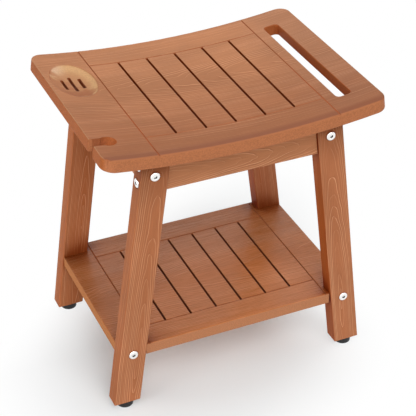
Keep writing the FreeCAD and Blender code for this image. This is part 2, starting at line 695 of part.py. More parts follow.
def build_end_rail(label, turned):
    """A board between two legs along Y, drawn at the right, with counterbores for the seat screws."""
    body = new_body(label, turned)
    sketch = new_sketch(body, "XZ_Plane")
    walls = "Fits.rail_inner_x", "Fits.rail_inner_x + Sizes.rail_thickness"
    draw_bedded_board(sketch, *walls, "Fits.rail_bottom")
    pad(body, sketch, "2 * (Fits.leg_inner_y - Sizes.board_gap)", SideType="Symmetric")
    low = value("Fits.rail_bottom") + 1e-3
    round_edges(body, "Sizes.rail_edge_radius", lambda edge: runs_along(edge, 1) and middle_of(edge).z < low)
    sketch = new_sketch(body, "XZ_Plane", "Fits.leg_bolt_end_y")
    draw_circle(sketch, "Fits.rail_x", "Fits.rail_bolt_z", "Fits.bolt_hole")
    mirror(body, cut_through(body, sketch, Reversed=True), "XZ_Plane")
    sketch = new_sketch(body, "YZ_Plane", "Fits.rail_inner_x")
    for side in ("-1", "1"):
        draw_circle(sketch, f"{side} * Fits.leg_nut_y", "Fits.rail_bolt_z", "Fits.nut_hole")
    cut_to(body, sketch, "(Sizes.rail_thickness + Sizes.nut_length) / 2", Reversed=True)
    shank_hole = "Sizes.screw_diameter + 2 * Sizes.hole_clearance", "Fits.rail_top"
    counterbore = "Sizes.screw_head_diameter + 2 * Sizes.hole_clearance", "Fits.screw_seat_z"
    for diameter, top in (shank_hole, counterbore):
        sketch = new_sketch(body, "XY_Plane", "Fits.rail_bottom")
        for side in ("-1", "1"):
            draw_circle(sketch, "Fits.rail_x", f"{side} * Sizes.screw_spacing / 2", diameter)
        cut_to(body, sketch, f"{top} + Sizes.rail_edge_radius - Fits.rail_bottom", Reversed=True)
    return body


# Fasteners and feet, turned about their own Z axis


def turned_body(label, section):
    """A body turned from half its section, given as pairs of radius and height."""
    body = new_body(label)
    sketch = new_sketch(body, "XZ_Plane")
    draw_outline(sketch, section)
    add_feature(body, "Revolution", sketch, {}, ReferenceAxis=(sketch, ["V_Axis"]), Angle=360)
    return body


def cut_hex_socket(body, across_flats, top, depth):
    sketch = new_sketch(body, "XY_Plane", top)
    draw_hexagon(sketch, across_flats)
    cut_to(body, sketch, depth)


def build_bolt(label, length):
    """A connector bolt that points down from its seat at the origin, with a wide head bevelled at the rim."""
    shank, head = "Sizes.bolt_diameter / 2", "Sizes.bolt_head_diameter / 2"
    bevel, top = "Sizes.bolt_head_bevel", "Sizes.bolt_head_height"
    point = [("0", f"-1 * {length}"), (f"{shank} - Sizes.bolt_point", f"-1 * {length}")]
    neck = [(shank, f"Sizes.bolt_point - {length}"), (shank, "0"), (head, "0")]
    crown = [(head, f"{top} - {bevel}"), (f"{head} - {bevel}", top), ("0", top)]
    body = turned_body(label, point + neck + crown)
    cut_hex_socket(body, "Sizes.bolt_socket", top, "Sizes.bolt_socket_depth")
    return body


def build_nut(label):
    """A barrel nut with its cross hole along X, and a screwdriver slot on top that shows the hole's line."""
    half = "Sizes.nut_length / 2"
    radius = "Sizes.nut_diameter / 2"
    body = turned_body(label, [("0", f"-1 * {half}"), (radius, f"-1 * {half}"), (radius, half), ("0", half)])
    sketch = new_sketch(body, "YZ_Plane")
    draw_circle(sketch, "0", "0", "Sizes.bolt_diameter + 2 * Sizes.running_clearance")
    cut_through(body, sketch, SideType="Symmetric")
    sketch = new_sketch(body, "XY_Plane", half)
    side = "Sizes.nut_slot_width / 2"
    draw_rectangle(sketch, "-1 * Sizes.nut_diameter", "Sizes.nut_diameter", f"-1 * {side}", side)
    cut_to(body, sketch, "Sizes.nut_slot_depth")
    return body


def build_screw(label):
    """A wood screw that points down from its seat at the origin, with a round head and a hex socket."""
    shank, head = "Sizes.screw_diameter / 2", "Sizes.screw_head_diameter / 2"
    point = [("0", "-1 * Sizes.screw_length"), (shank, "Sizes.screw_diameter - Sizes.screw_length")]
    top = [(shank, "0"), (head, "0"), (head, "Sizes.screw_head_height"), ("0", "Sizes.screw_head_height")]
    body = turned_body(label, point + top)
    cut_hex_socket(body, "Sizes.screw_socket", "Sizes.screw_head_height", "Sizes.screw_socket_depth")
    return body


def build_insert(label):
    """A threaded insert, a sleeve flush with the leg's end."""
    bore = "Sizes.stud_diameter / 2 + Sizes.running_clearance"
    outside = "Sizes.insert_diameter / 2"
    top = "Sizes.insert_length"
    return turned_body(label, [(bore, "0"), (outside, "0"), (outside, top), (bore, top)])


def build_stud(label):
    """A threaded stud that stands on a flat head, which the pad is moulded round."""
    head_low = "Sizes.foot_floor"
    head_high = "Sizes.foot_floor + Sizes.stud_head_height"
    head, shank = "Sizes.stud_head_diameter / 2", "Sizes.stud_diameter / 2"
    tip = "Sizes.foot_height + Sizes.stud_length"
    base = [("0", head_low), (head, head_low), (head, head_high), (shank, head_high)]
    point = [(shank, f"{tip} - Sizes.stud_point"), (f"{shank} - Sizes.stud_point", tip), ("0", tip)]
    return turned_body(label, base + point)


def build_pad(label):
    """A round rubber pad with its lower edge rounded and a hollow that fits the stud's head and neck."""
    rim, top = "Sizes.foot_diameter / 2", "Sizes.foot_height"
    neck = "Sizes.stud_diameter / 2 + Sizes.running_clearance"
    hollow = "Sizes.stud_head_diameter / 2 + Sizes.running_clearance"
    floor = "Sizes.foot_floor - Sizes.running_clearance"
    roof = "Sizes.foot_floor + Sizes.stud_head_height + Sizes.running_clearance"
    outside = [("0", "0"), (rim, "0"), (rim, top), (neck, top)]
    inside = [(neck, roof), (hollow, roof), (hollow, floor), ("0", floor)]
    body = turned_body(label, outside + inside)
    round_edges(body, "Sizes.foot_edge_radius", lambda edge: edge.BoundBox.ZMax < 1e-3)
    return body


def mirror_image(source, normal):
    image = doc.addObject("Part::Mirroring", source.Name + "_image")
    image.Source = source
    image.Normal = normal
    return image


def at_four_corners(label, sources):
    """A group of separate solids: each source and its images at the other three corners of the bench."""
    group = doc.addObject("Part::Compound", label)
    group.Label = label
    solids = []
    for source in sources:
        across = mirror_image(source, RIGHT)
        solids += [source, across, mirror_image(source, BACK), mirror_image(across, BACK)]
    group.Links = solids
    return group


def build_apron_hardware():
    bolts, nuts = [], []
    for height in ("low", "high"):
        bolt = build_bolt(f"{height}_apron_bolt", "Sizes.apron_bolt_length")
        y, z = "-1 * Fits.apron_mid_y", f"Fits.{height}_bolt_z"
        place(bolt, f"Fits.{height}_seat_x", y, z, facing(RIGHT, BACK))
        bolts.append(bolt)
        nut = build_nut(f"{height}_apron_nut")
        place(nut, f"Fits.{height}_nut_x", y, z, facing(BACK, RIGHT))
        nuts.append(nut)
    return [at_four_corners("apron_bolts", bolts), at_four_corners("apron_barrel_nuts", nuts)]


def build_leg_hardware(name, x, z, nut_rotation):
    """Bolts through the legs' wide faces and the barrel nuts that they screw into."""
    bolt = build_bolt(name + "_bolt", "Sizes.leg_bolt_length")
    place(bolt, x, "-1 * Fits.leg_front_y", z, facing(FRONT, RIGHT))
    nut = build_nut(name + "_nut")
    place(nut, x, "-1 * Fits.leg_nut_y", z, nut_rotation)
    return [at_four_corners(name + "_bolts", [bolt]), at_four_corners(name + "_barrel_nuts", [nut])]


def build_seat_screws():
    screw = build_screw("seat_screw")
    place(screw, "Fits.rail_x", "-1 * Sizes.screw_spacing / 2", "Fits.screw_seat_z", facing(DOWN, RIGHT))
    return at_four_corners("seat_screws", [screw])


def build_feet():
    insert = build_insert("foot_insert")
    place(insert, "Fits.foot_x", "-1 * Fits.foot_y", "Sizes.foot_height")
    pieces = [at_four_corners("foot_inserts", [insert])]
    for corner, (side_x, side_y) in CORNERS.items():
        for piece in (build_stud("foot_stud_" + corner), build_pad("foot_pad_" + corner)):
            place(piece, f"{side_x} * Fits.foot_x", f"{side_y} * Fits.foot_y", "0")
            pieces.append(piece)
    return pieces


pieces = [build_seat(), build_shelf()]
pieces += [build_leg(corner) for corner in CORNERS]
pieces += [build_apron("front_apron", False), build_apron("back_apron", True)]
pieces += [build_end_rail("right_end_rail", False), build_end_rail("left_end_rail", True)]
pieces += build_apron_hardware()
pieces += build_leg_hardware("end_rail", "Fits.rail_x", "Fits.rail_bolt_z", facing(LEFT, BACK))
pieces += build_leg_hardware("shelf", "Fits.shelf_bolt_x", "Fits.shelf_bolt_z", facing(DOWN, BACK))
pieces.append(build_seat_screws())
pieces += build_feet()
doc.recompute()

for item in doc.Objects:
    if "Invalid" in item.State or "Error" in item.State:
        raise RuntimeError(f"{item.Label} failed: {item.State}")
for piece in pieces:
    if piece.Shape.isNull() or not piece.Shape.isValid() or not piece.Shape.Solids:
        raise RuntimeError(f"{piece.Label} is not a valid solid")
os.makedirs("parts", exist_ok=True)
for piece in pieces:
    piece.Shape.exportStep(f"parts/{piece.Label}.step")
    print(piece.Label, len(piece.Shape.Solids), round(piece.Shape.Volume))
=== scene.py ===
import json
import math

import bmesh
import bpy
from mathutils import Matrix, Vector

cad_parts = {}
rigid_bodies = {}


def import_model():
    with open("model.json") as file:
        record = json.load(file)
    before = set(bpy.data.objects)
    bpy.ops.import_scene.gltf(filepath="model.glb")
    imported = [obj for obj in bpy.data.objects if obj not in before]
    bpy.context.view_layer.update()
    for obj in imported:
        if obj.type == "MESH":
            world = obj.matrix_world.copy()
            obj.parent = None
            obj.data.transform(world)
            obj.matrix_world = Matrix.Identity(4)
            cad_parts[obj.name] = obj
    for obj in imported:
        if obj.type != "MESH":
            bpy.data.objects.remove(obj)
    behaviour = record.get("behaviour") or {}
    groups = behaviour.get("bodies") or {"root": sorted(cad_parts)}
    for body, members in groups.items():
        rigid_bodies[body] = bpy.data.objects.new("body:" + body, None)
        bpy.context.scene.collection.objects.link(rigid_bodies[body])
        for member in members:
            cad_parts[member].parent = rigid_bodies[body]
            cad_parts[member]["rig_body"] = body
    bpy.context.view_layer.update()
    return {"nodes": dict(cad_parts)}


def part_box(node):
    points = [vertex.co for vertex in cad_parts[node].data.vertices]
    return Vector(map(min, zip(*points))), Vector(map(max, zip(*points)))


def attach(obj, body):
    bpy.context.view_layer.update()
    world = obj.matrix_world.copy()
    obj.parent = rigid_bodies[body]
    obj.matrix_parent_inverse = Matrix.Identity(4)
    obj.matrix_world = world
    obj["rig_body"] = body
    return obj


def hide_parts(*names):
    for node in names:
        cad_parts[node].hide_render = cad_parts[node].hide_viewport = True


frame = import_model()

# Legs: four splayed uprights of plastic lumber, a dense brown board with a wood grain rolled into
# its faces. Each is cut level at the foot, fitted to the seat's bow at the top, and drilled for
# the bolts and the foot.

MILLIMETRE = 0.001
LEG_SPLAY = math.radians(7.65)
LEG_TONES = {
    "leg_front_left": (0.430, 0.150, 0.063),
    "leg_front_right": (0.436, 0.154, 0.066),
    "leg_back_left": (0.435, 0.139, 0.051),
    # The back right leg's darker tone is partly painted shade, as it stands back under the seat
    "leg_back_right": (0.400, 0.128, 0.053),
}
LINE_TONE = (0.70, 0.345, 0.185)
SHADE_TONE = (0.33, 0.108, 0.043)
CUT_TONE = (0.37, 0.125, 0.052)
SAWN_TINT = (1.02, 0.88, 0.69)
INNER_SHADE_TINT = (0.90, 0.68, 0.46)
# Painted shade in the corners between boards, darker and redder, found by ambient occlusion
CORNER_SHADE_TINT = (0.48, 0.29, 0.15)
CORNER_SHADE_REACH = 0.06
CORNER_SHADE_START = 40.0, 90.0  # above the leg's foot
# Painted shade on the legs just under the seat
SEAT_SHADE = 90.0, 35.0  # below the leg's top
SEAT_SHADE_SHARE = 0.85
LEG_GRAINS = {
    "leg_front_left": (4.0, 2.6, 20.6, 0.058, 8.0),
    "leg_front_right": (9.5, 2.1, 23.0, 0.070, -4.0),
    "leg_back_left": (15.0, 2.2, 18.0, 0.060, 6.0),
    "leg_back_right": (21.0, 2.2, 18.0, 0.060, -10.0),
}
GRAIN_TERMS = "seed", "ring", "heart_depth", "heart_rise", "heart_aside"
LEG_WANDER = 1.0
LEG_HEAVE = 3.0
# Patches of noise in the grain: length and width in millimetres, and a place in the noise
SWAY_PATCH = 140.0, 45.0, 0.0
RIPPLE_PATCH = 30.0, 9.0, 3.1
ROLL_PATCH = 75.0, 60.0, 1.9
FADE_PATCH = 150.0, 22.0, 7.7
FIBRE_PATCH = 24.0, 0.8, 5.3
CLOUD_PATCH = 120.0, 40.0, 11.0
SWAY_REACH = 4.0
RIPPLE_REACH = 1.6
RISE_SHARE = 0.6
LEAST_STEEPNESS = 0.03
LINE_WIDTH = 0.8
LINE_SHARE = 0.85
SHADE_SHARE = 0.45
LINE_RELIEF = 0.8
FIBRE_RELIEF = 0.35
RELIEF_DEPTH = 0.3
RELIEF_STRENGTH = 0.6
BOARD_GLOSS = 0.05
BOARD_ROUGHNESS = 0.40, 0.54


def add_node(tree, kind, inputs=(), **settings):
    """A shader node with its settings made and its inputs set or joined to other nodes."""
    node = tree.nodes.new("ShaderNode" + kind)
    for name, setting in settings.items():
        setattr(node, name, setting)
    named = inputs.items() if isinstance(inputs, dict) else enumerate(inputs)
    for name, value in named:
        if isinstance(value, bpy.types.NodeSocket):
            tree.links.new(value, node.inputs[name])
        else:
            node.inputs[name].default_value = value
    return node


def calc(tree, operation, *terms):
    return add_node(tree, "Math", terms, operation=operation).outputs[0]


def vector_calc(tree, operation, *terms):
    return add_node(tree, "VectorMath", terms, operation=operation).outputs[0]


def split(tree, vector):
    """The three parts of a vector."""
    return add_node(tree, "SeparateXYZ", [vector]).outputs


def product(tree, *shares):
    """Several shares multiplied together."""
    result = shares[0]
    for share in shares[1:]:
        result = calc(tree, "MULTIPLY", result, share)
    return result


def ramp(tree, value, start, end, low=0.0, high=1.0):
    """A smooth step from low to high while the value goes from start to end."""
    limits = {"Value": value, "From Min": start, "From Max": end, "To Min": low, "To Max": high}
    return add_node(tree, "MapRange", limits, interpolation_type="SMOOTHSTEP").outputs[0]


def tint(tree, share, tone, other, how="MIX"):
    """One tone mixed into another by a share."""
    tones = [(*colour, 1.0) if isinstance(colour, tuple) else colour for colour in (tone, other)]
    parts = {0: share, 6: tones[0], 7: tones[1]}
    return add_node(tree, "Mix", parts, data_type="RGBA", blend_type=how).outputs[2]


def dim(tree, tone, share):
    """A tone multiplied by a share, the same in every channel."""
    grey = add_node(tree, "CombineColor", [share] * 3).outputs[0]
    return tint(tree, 1.0, tone, grey, "MULTIPLY")


def new_finish(name):
    """An empty material and its shader, ready for colour, roughness and relief."""
    finish = bpy.data.materials.new(name)
    finish.use_nodes = True
    return finish, finish.node_tree, finish.node_tree.nodes["Principled BSDF"]


def board_place(tree, middle, along, across):
    """Millimetres from a board's middle: along its grain, across its wide face and through it."""
    axes = Matrix((along, across, Vector(along).cross(Vector(across)))).transposed()
    place = {
        "Vector": add_node(tree, "TexCoord").outputs["Object"],
        "Location": middle,
        "Rotation": axes.to_euler(),
        "Scale": (MILLIMETRE,) * 3,
    }
    return add_node(tree, "Mapping", place, vector_type="TEXTURE").outputs[0]


def patches(tree, place, patch, seed=0.0, detail=1.0):
    """Noise in patches so many millimetres long with the grain and wide across it."""
    length, width, offset = patch
    stretch = (1 / length, 1 / width, 1 / width)
    seed += offset
    spot = vector_calc(tree, "MULTIPLY_ADD", place, stretch, (seed, 1.7 * seed, 2.3 * seed))
    return add_node(tree, "TexNoise", {"Vector": spot, "Scale": 1.0, "Detail": detail})


def strayed(tree, place, noise, reach):
    """A place moved aside by coloured noise, by up to about half the reach each way."""
    spread, back = (0.0, reach, reach), (0.0, -reach / 2, -reach / 2)
    shift = vector_calc(tree, "MULTIPLY_ADD", noise.outputs[1], spread, back)
    return vector_calc(tree, "ADD", place, shift)


def rolled_grain(
    tree, place, seed, ring, heart_depth, heart_rise, heart_aside, wander, heave, line_width,
    on_side=0.0, tips=0.6,
):
    """Growth rings about a heart that lies under the face and rises along the board.

    Gives the raised lines and the shade beside them, both from 0 to 1, and the fine fibre streaks.
    The lines are as wide at the tips of the arches as beside them, on the wide faces and, where
    on_side is 1, on the narrow ones. At the tips they keep that share, tips, of their strength."""
    swayed = strayed(tree, place, patches(tree, place, SWAY_PATCH, seed), SWAY_REACH * wander)
    swayed = strayed(tree, swayed, patches(tree, place, RIPPLE_PATCH, seed), RIPPLE_REACH)
    along, aside, through = split(tree, swayed)
    aside = calc(tree, "SUBTRACT", aside, heart_aside)
    deep = calc(tree, "MULTIPLY_ADD", along, heart_rise, heart_depth)
    deep = calc(tree, "ADD", through, deep)
    rolling = patches(tree, place, ROLL_PATCH, seed).outputs[0]
    deep = calc(tree, "ADD", deep, calc(tree, "MULTIPLY_ADD", rolling, 2 * heave, -heave))
    across_squared, deep_squared = calc(tree, "POWER", aside, 2.0), calc(tree, "POWER", deep, 2.0)
    radius = calc(tree, "SQRT", calc(tree, "ADD", across_squared, deep_squared))
    turn = calc(tree, "DIVIDE", radius, ring)
    over_face = calc(tree, "MULTIPLY", across_squared, calc(tree, "SUBTRACT", 1.0, on_side))
    over_side = calc(tree, "MULTIPLY", deep_squared, on_side)
    up_board = calc(tree, "MULTIPLY", deep_squared, (RISE_SHARE * heart_rise) ** 2)
    steep = calc(tree, "ADD", calc(tree, "ADD", over_face, over_side), up_board)
    steep = calc(tree, "DIVIDE", calc(tree, "SQRT", steep), radius)
    steep = calc(tree, "MAXIMUM", steep, LEAST_STEEPNESS)
    pitch = calc(tree, "DIVIDE", ring, steep)
    ring_number = {"W": calc(tree, "ADD", calc(tree, "ROUND", turn), seed)}
    chance = add_node(tree, "TexWhiteNoise", ring_number, noise_dimensions="1D").outputs[0]
    fading = patches(tree, place, FADE_PATCH, seed).outputs[0]
    strong = product(
        tree,
        ramp(tree, fading, 0.30, 0.55, 0.55, 1.0),
        ramp(tree, chance, 0.15, 0.85, 0.35, 1.0),
        ramp(tree, steep, 0.05, 0.25, tips, 1.0),
    )
    beside = calc(tree, "MULTIPLY", calc(tree, "PINGPONG", turn, 0.5), pitch)
    after = calc(tree, "MULTIPLY", calc(tree, "FRACT", turn), pitch)
    line = ramp(tree, beside, 0.2 * line_width, 0.9 * line_width, 1.0, 0.0)
    shade = ramp(tree, after, 0.8 * line_width, 3.0 * line_width, 1.0, 0.0)
    fibre = patches(tree, place, FIBRE_PATCH, seed, 2.0).outputs[0]
    return product(tree, line, strong), product(tree, shade, strong), fibre


def grained(tree, tone, line, shade, fibre, cloud, boldness=1.0):
    """The colour of a rolled face: shaded beside the lines, paler on them, streaked and clouded."""
    shaded = calc(tree, "MULTIPLY", shade, SHADE_SHARE * boldness)
    lined = calc(tree, "MULTIPLY", line, LINE_SHARE * boldness)
    colour = tint(tree, lined, tint(tree, shaded, tone, SHADE_TONE), LINE_TONE)
    streaked = ramp(tree, fibre, 0.3, 0.7, 0.93, 1.07)
    return dim(tree, colour, product(tree, streaked, ramp(tree, cloud, 0.3, 0.7, 0.94, 1.06)))


def press_grain(
    tree, shader, line, fibre, faded,
    gloss=BOARD_GLOSS, roughness=BOARD_ROUGHNESS, fibre_relief=FIBRE_RELIEF, matt=0.0,
):
    """The relief of the grain, flat where it fades, and a gloss that follows the fibres."""
    raised = calc(tree, "MULTIPLY", line, LINE_RELIEF)
    raised = calc(tree, "ADD", raised, calc(tree, "MULTIPLY", fibre, fibre_relief))
    relief = {
        "Strength": RELIEF_STRENGTH,
        "Distance": RELIEF_DEPTH * MILLIMETRE,
        "Height": product(tree, raised, calc(tree, "SUBTRACT", 1.0, faded)),
    }
    tree.links.new(add_node(tree, "Bump", relief).outputs[0], shader.inputs["Normal"])
    dull = calc(tree, "MAXIMUM", ramp(tree, fibre, 0.2, 0.8, *roughness), matt)
    tree.links.new(dull, shader.inputs["Roughness"])
    shader.inputs["Specular IOR Level"].default_value = gloss


def face_normal(tree):
    return add_node(tree, "NewGeometry").outputs["Normal"]


def facing(tree, direction, one_way=False):
    """1 on the faces that look along a direction, either way or only that way, and 0 beside it."""
    terms = [face_normal(tree), direction]
    lean = add_node(tree, "VectorMath", terms, operation="DOT_PRODUCT").outputs["Value"]
    return ramp(tree, lean if one_way else calc(tree, "ABSOLUTE", lean), 0.70, 0.95)


def corner_shaded(tree, colour, share):
    """Painted shade: darker and redder in the corners between the boards, found by ambient
    occlusion.
    """
    openness = add_node(tree, "AmbientOcclusion", {"Distance": CORNER_SHADE_REACH}).outputs["AO"]
    corner_shade = product(tree, ramp(tree, openness, 0.55, 1.0, 1.0, 0.0), share)
    return tint(tree, corner_shade, colour, CORNER_SHADE_TINT, "MULTIPLY")


def board_finish(
    name, middle, along, across, tone, boldness=1.0, inward=None, half_height=None, **grain
):
    """Plastic lumber: grain on the rolled faces, warmer sawn sides and plain, darker cut ends.

    A leg also has painted shade: darker and warmer on its inner sides, dimmer under the seat, and
    darker and redder in its corners above the foot."""
    finish, tree, shader = new_finish(name)
    place = board_place(tree, middle, along, across)
    on_side = facing(tree, across)
    line, shade, fibre = rolled_grain(tree, place, line_width=LINE_WIDTH, on_side=on_side, **grain)
    cloud = patches(tree, place, CLOUD_PATCH, grain["seed"]).outputs[0]
    colour = grained(tree, tone, line, shade, fibre, cloud, boldness)
    colour = tint(tree, on_side, colour, SAWN_TINT, "MULTIPLY")
    # Painted shade, darker and warmer, on the legs' inner sides
    if inward is not None:
        colour = tint(tree, facing(tree, inward, True), colour, INNER_SHADE_TINT, "MULTIPLY")
    # Painted shade under the seat, and painted corner shade above the foot
    if half_height is not None:
        height = split(tree, place)[0]
        start, full = (half_height - below for below in SEAT_SHADE)
        colour = dim(tree, colour, ramp(tree, height, start, full, 1.0, SEAT_SHADE_SHARE))
        start, full = (above - half_height for above in CORNER_SHADE_START)
        colour = corner_shaded(tree, colour, ramp(tree, height, start, full))
    cut = facing(tree, along)
    colour = tint(tree, cut, colour, CUT_TONE)
    tree.links.new(colour, shader.inputs["Base Color"])
    press_grain(tree, shader, line, fibre, cut)
    return finish


def middle_of(node):
    low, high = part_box(node)
    return (low + high) / 2


def dress(node, *finishes):
    """A carried-over piece gets its finishes in place of the ones it came with."""
    piece = frame["nodes"][node]
    piece.data.materials.clear()
    for finish in finishes:
        piece.data.materials.append(finish)


for node, terms in LEG_GRAINS.items():
    side = 1 if node.endswith("right") else -1
    up_the_leg = Vector((-side * math.sin(LEG_SPLAY), 0.0, math.cos(LEG_SPLAY)))
    over_the_leg = Vector((math.cos(LEG_SPLAY), 0.0, side * math.sin(LEG_SPLAY)))
    low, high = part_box(node)
    finish = board_finish(
        node, middle_of(node), up_the_leg, over_the_leg, LEG_TONES[node],
        inward=-side * over_the_leg, half_height=(high.z - low.z) / 2 / MILLIMETRE,
        wander=LEG_WANDER, heave=LEG_HEAVE, **dict(zip(GRAIN_TERMS, terms)),
    )
    dress(node, finish)

# Rails: two aprons between the legs along the seat and two end rails across it, of the same board.
# They stand on edge under the seat and are drawn against the legs by the bolts.

LENGTHWAYS = (1.0, 0.0, 0.0)
FRONT_TO_BACK = (0.0, 1.0, 0.0)
UPWARDS = (0.0, 0.0, 1.0)
RAIL_TONE = (0.495, 0.196, 0.088)
RAIL_GRAINS = {
    "front_apron": (27.0, 1.9, 19.0, 0.070, -6.0),
    "back_apron": (33.0, 1.9, 18.0, 0.065, 5.0),
    "left_end_rail": (39.0, 1.9, 16.0, 0.070, 0.0),
    "right_end_rail": (45.0, 1.9, 17.0, 0.070, 3.0),
}
RAIL_WANDER = 1.5
RAIL_HEAVE = 3.0
RAIL_BOLDNESS = 1.7

for node, terms in RAIL_GRAINS.items():
    along = LENGTHWAYS if node.endswith("apron") else FRONT_TO_BACK
    finish = board_finish(
        node, middle_of(node), along, UPWARDS, RAIL_TONE, RAIL_BOLDNESS,
        wander=RAIL_WANDER, heave=RAIL_HEAVE, **dict(zip(GRAIN_TERMS, terms)),
    )
    dress(node, finish)

# Shelf: one flat panel of the same board, routed with slots and grooves that make it look like
# slats, and notched round the legs. Its rolled faces are glossy; its edges and the walls of its
# slots are sawn and routed, so they are dull and show no grain.

SHELF_TONE = (0.392, 0.125, 0.035)
SHELF_EDGE_TONE = (0.466, 0.186, 0.083)
SHELF_END_TONE = (0.505, 0.182, 0.056)
SHELF_GROOVE_TONE = (0.30, 0.085, 0.028)
SHELF_SLOT_SHADE_TONE = (0.190, 0.033, 0.006)
SHELF_GLOSS = 0.36
SHELF_ROUGHNESS = 0.22, 0.34
SHELF_FIBRE_RELIEF = 0.12
SAWN_ROUGHNESS = 1.0
SHELF_FIELD = 115.0, 104.0  # half the length and depth of the part with the slots
# Painted light and shade on the shelf: darker towards the back, under the seat, and lighter towards
# the front
SHELF_LIGHT_FADE = 150.0
SHELF_BACK_SHADE_SHARE = 0.86
SHELF_FRONT_LIGHT_SHARE = 1.29
SHELF_BOLDNESS = 0.55
SHELF_SEED = 51.0
SHELF_HEART_ASIDE = -20.0
PANEL_GRAIN = {
    "ring": 2.8, "heart_depth": 46.0, "heart_rise": -0.09,
    "wander": 2.0, "heave": 4.0, "line_width": 1.1, "tips": 0.0,
}
PANEL_CLOUD_PATCH = 110.0, 45.0, 11.0
SPECK_PATCH = 1.8, 1.8, 71.0
PANEL_MARGIN = 4.0
GROOVE_DEPTH = 1.3
GROOVE_TILT = 0.707


def within(tree, value, limit, soft=1.0):
    """1 where a value stays within a limit on both sides of zero, and 0 beyond it."""
    return ramp(tree, calc(tree, "ABSOLUTE", value), limit - soft, limit + soft, 1.0, 0.0)


def within_field(tree, along, across, field):
    """1 inside an oblong so far from the panel's middle each way, and 0 outside it."""
    return product(tree, within(tree, along, field[0]), within(tree, across, field[1]))


def face_tilt(tree):
    """How far a face looks up, from -1 to 1."""
    return split(tree, face_normal(tree))[2]


def routed(
    tree, colour, place, sunk, field, half, edge_tone, end_tone, groove_tone, slot_shade_tone
):
    """Colours the cut faces of a panel: its outer edges, its vee grooves and its slots' walls,
    which are painted dark as shade.

    Gives the colour, the share of each face that is upright, and the speckle of the cut faces."""
    along, across = split(tree, place)[:2]
    up = face_tilt(tree)
    upright = within(tree, up, 0.45, 0.25)
    speck = patches(tree, place, SPECK_PATCH, detail=2.0).outputs[0]
    speck = ramp(tree, speck, 0.3, 0.7, 0.88, 1.12)
    edge = tint(tree, facing(tree, LENGTHWAYS), edge_tone, end_tone)
    colour = tint(tree, upright, colour, dim(tree, edge, speck))
    slope = within(tree, calc(tree, "SUBTRACT", up, GROOVE_TILT), 0.2, 0.06)
    slope = product(tree, slope, ramp(tree, sunk, 0.10, 0.45))
    shallow = ramp(tree, sunk, GROOVE_DEPTH + 0.1, GROOVE_DEPTH + 0.4, 1.0, 0.0)
    inside = within_field(tree, along, across, (half[0] - PANEL_MARGIN, half[1] - PANEL_MARGIN))
    colour = tint(tree, product(tree, slope, shallow, inside), colour, groove_tone)
    in_field = within_field(tree, along, across, field)
    # Painted shade: the slots' walls are coloured dark
    slot_wall = product(tree, in_field, upright, ramp(tree, sunk, 0.2, 2.5))
    return tint(tree, slot_wall, colour, slot_shade_tone), upright, speck


finish, tree, shader = new_finish("shelf_board")
shelf_low, shelf_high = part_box("shelf_panel")
shelf_half = (shelf_high - shelf_low) / 2 / MILLIMETRE
place = board_place(tree, (0.0, 0.0, shelf_high.z), LENGTHWAYS, FRONT_TO_BACK)
line, shade, fibre = rolled_grain(
    tree, place, seed=SHELF_SEED, heart_aside=SHELF_HEART_ASIDE, **PANEL_GRAIN
)
cloud = patches(tree, place, PANEL_CLOUD_PATCH, SHELF_SEED).outputs[0]
across, above = split(tree, place)[1:]
sunk = calc(tree, "MULTIPLY", above, -1.0)
colour = grained(tree, SHELF_TONE, line, shade, fibre, cloud, SHELF_BOLDNESS)
# Painted shade towards the back and painted light towards the front
light_and_shade_shares = SHELF_BACK_SHADE_SHARE, SHELF_FRONT_LIGHT_SHARE
colour = dim(tree, colour, ramp(tree, across, SHELF_LIGHT_FADE, -SHELF_LIGHT_FADE, *light_and_shade_shares))
# Painted shade in the shelf's corners, round the legs' feet
colour = corner_shaded(tree, colour, 1.0)
shelf_tones = SHELF_EDGE_TONE, SHELF_END_TONE, SHELF_GROOVE_TONE, SHELF_SLOT_SHADE_TONE
colour, sawn = routed(tree, colour, place, sunk, SHELF_FIELD, shelf_half, *shelf_tones)[:2]
tree.links.new(colour, shader.inputs["Base Color"])
matt = ramp(tree, face_tilt(tree), 0.98, 0.90, 0.0, SAWN_ROUGHNESS)
press_grain(
    tree, shader, line, fibre, sawn, SHELF_GLOSS, SHELF_ROUGHNESS, SHELF_FIBRE_RELIEF, matt
)
dress("shelf_panel", finish)

# Seat: one panel like the shelf's, bowed by heat after it was routed with slots, grooves, a handle
# slot, a notch for a hand shower and a soap dish. The dish is milled below the rolled skin, so it
# shows the paler core. Screws from the end rails hold the seat down.

SEAT_TONE = (0.450, 0.190, 0.090)
FRONT_SHADE_TONE = (0.380, 0.140, 0.062)
SEAT_EDGE_TONE = (0.465, 0.166, 0.070)
SEAT_END_TONE = (0.415, 0.116, 0.031)
SEAT_SLOT_SHADE_TONE = (0.270, 0.045, 0.008)
BACK_GROOVE_TONE = (0.35, 0.110, 0.045)
FRONT_GROOVE_TONE = (0.48, 0.143, 0.058)
FAINT_GROOVE_TONE = (0.40, 0.135, 0.058)
RIGHT_TINT = (0.91, 0.955, 1.04)
FRONT_SHADE_BAND_TONE = (0.312, 0.112, 0.056)
CORE_TONE = (0.60, 0.345, 0.165)
DISH_HIGHLIGHT_TONE = (0.66, 0.42, 0.265)
WALL_TONE = (0.43, 0.122, 0.036)
NOTCH_TONE = (0.345, 0.106, 0.042)
RIM_HIGHLIGHT_TONE = (0.47, 0.235, 0.125)
DRAIN_SHADE_TONE = (0.30, 0.080, 0.028)
DRAIN_RIM_TONE = (0.165, 0.050, 0.020)
SEAT_BOW_RADIUS = 1530.0
SEAT_THICKNESS = 20.0
SEAT_HALF = 225.5, 175.0
SEAT_FIELD = 112.0, 121.0
SEAT_MARGIN = 5.0
DISH_MIDDLE = 41.0 - SEAT_HALF[0], SEAT_HALF[1] - 99.0
DISH_HALF = 35.0, 57.0
DRAIN_PITCH = 14.0
DRAIN_HALF_WIDTH = 2.0
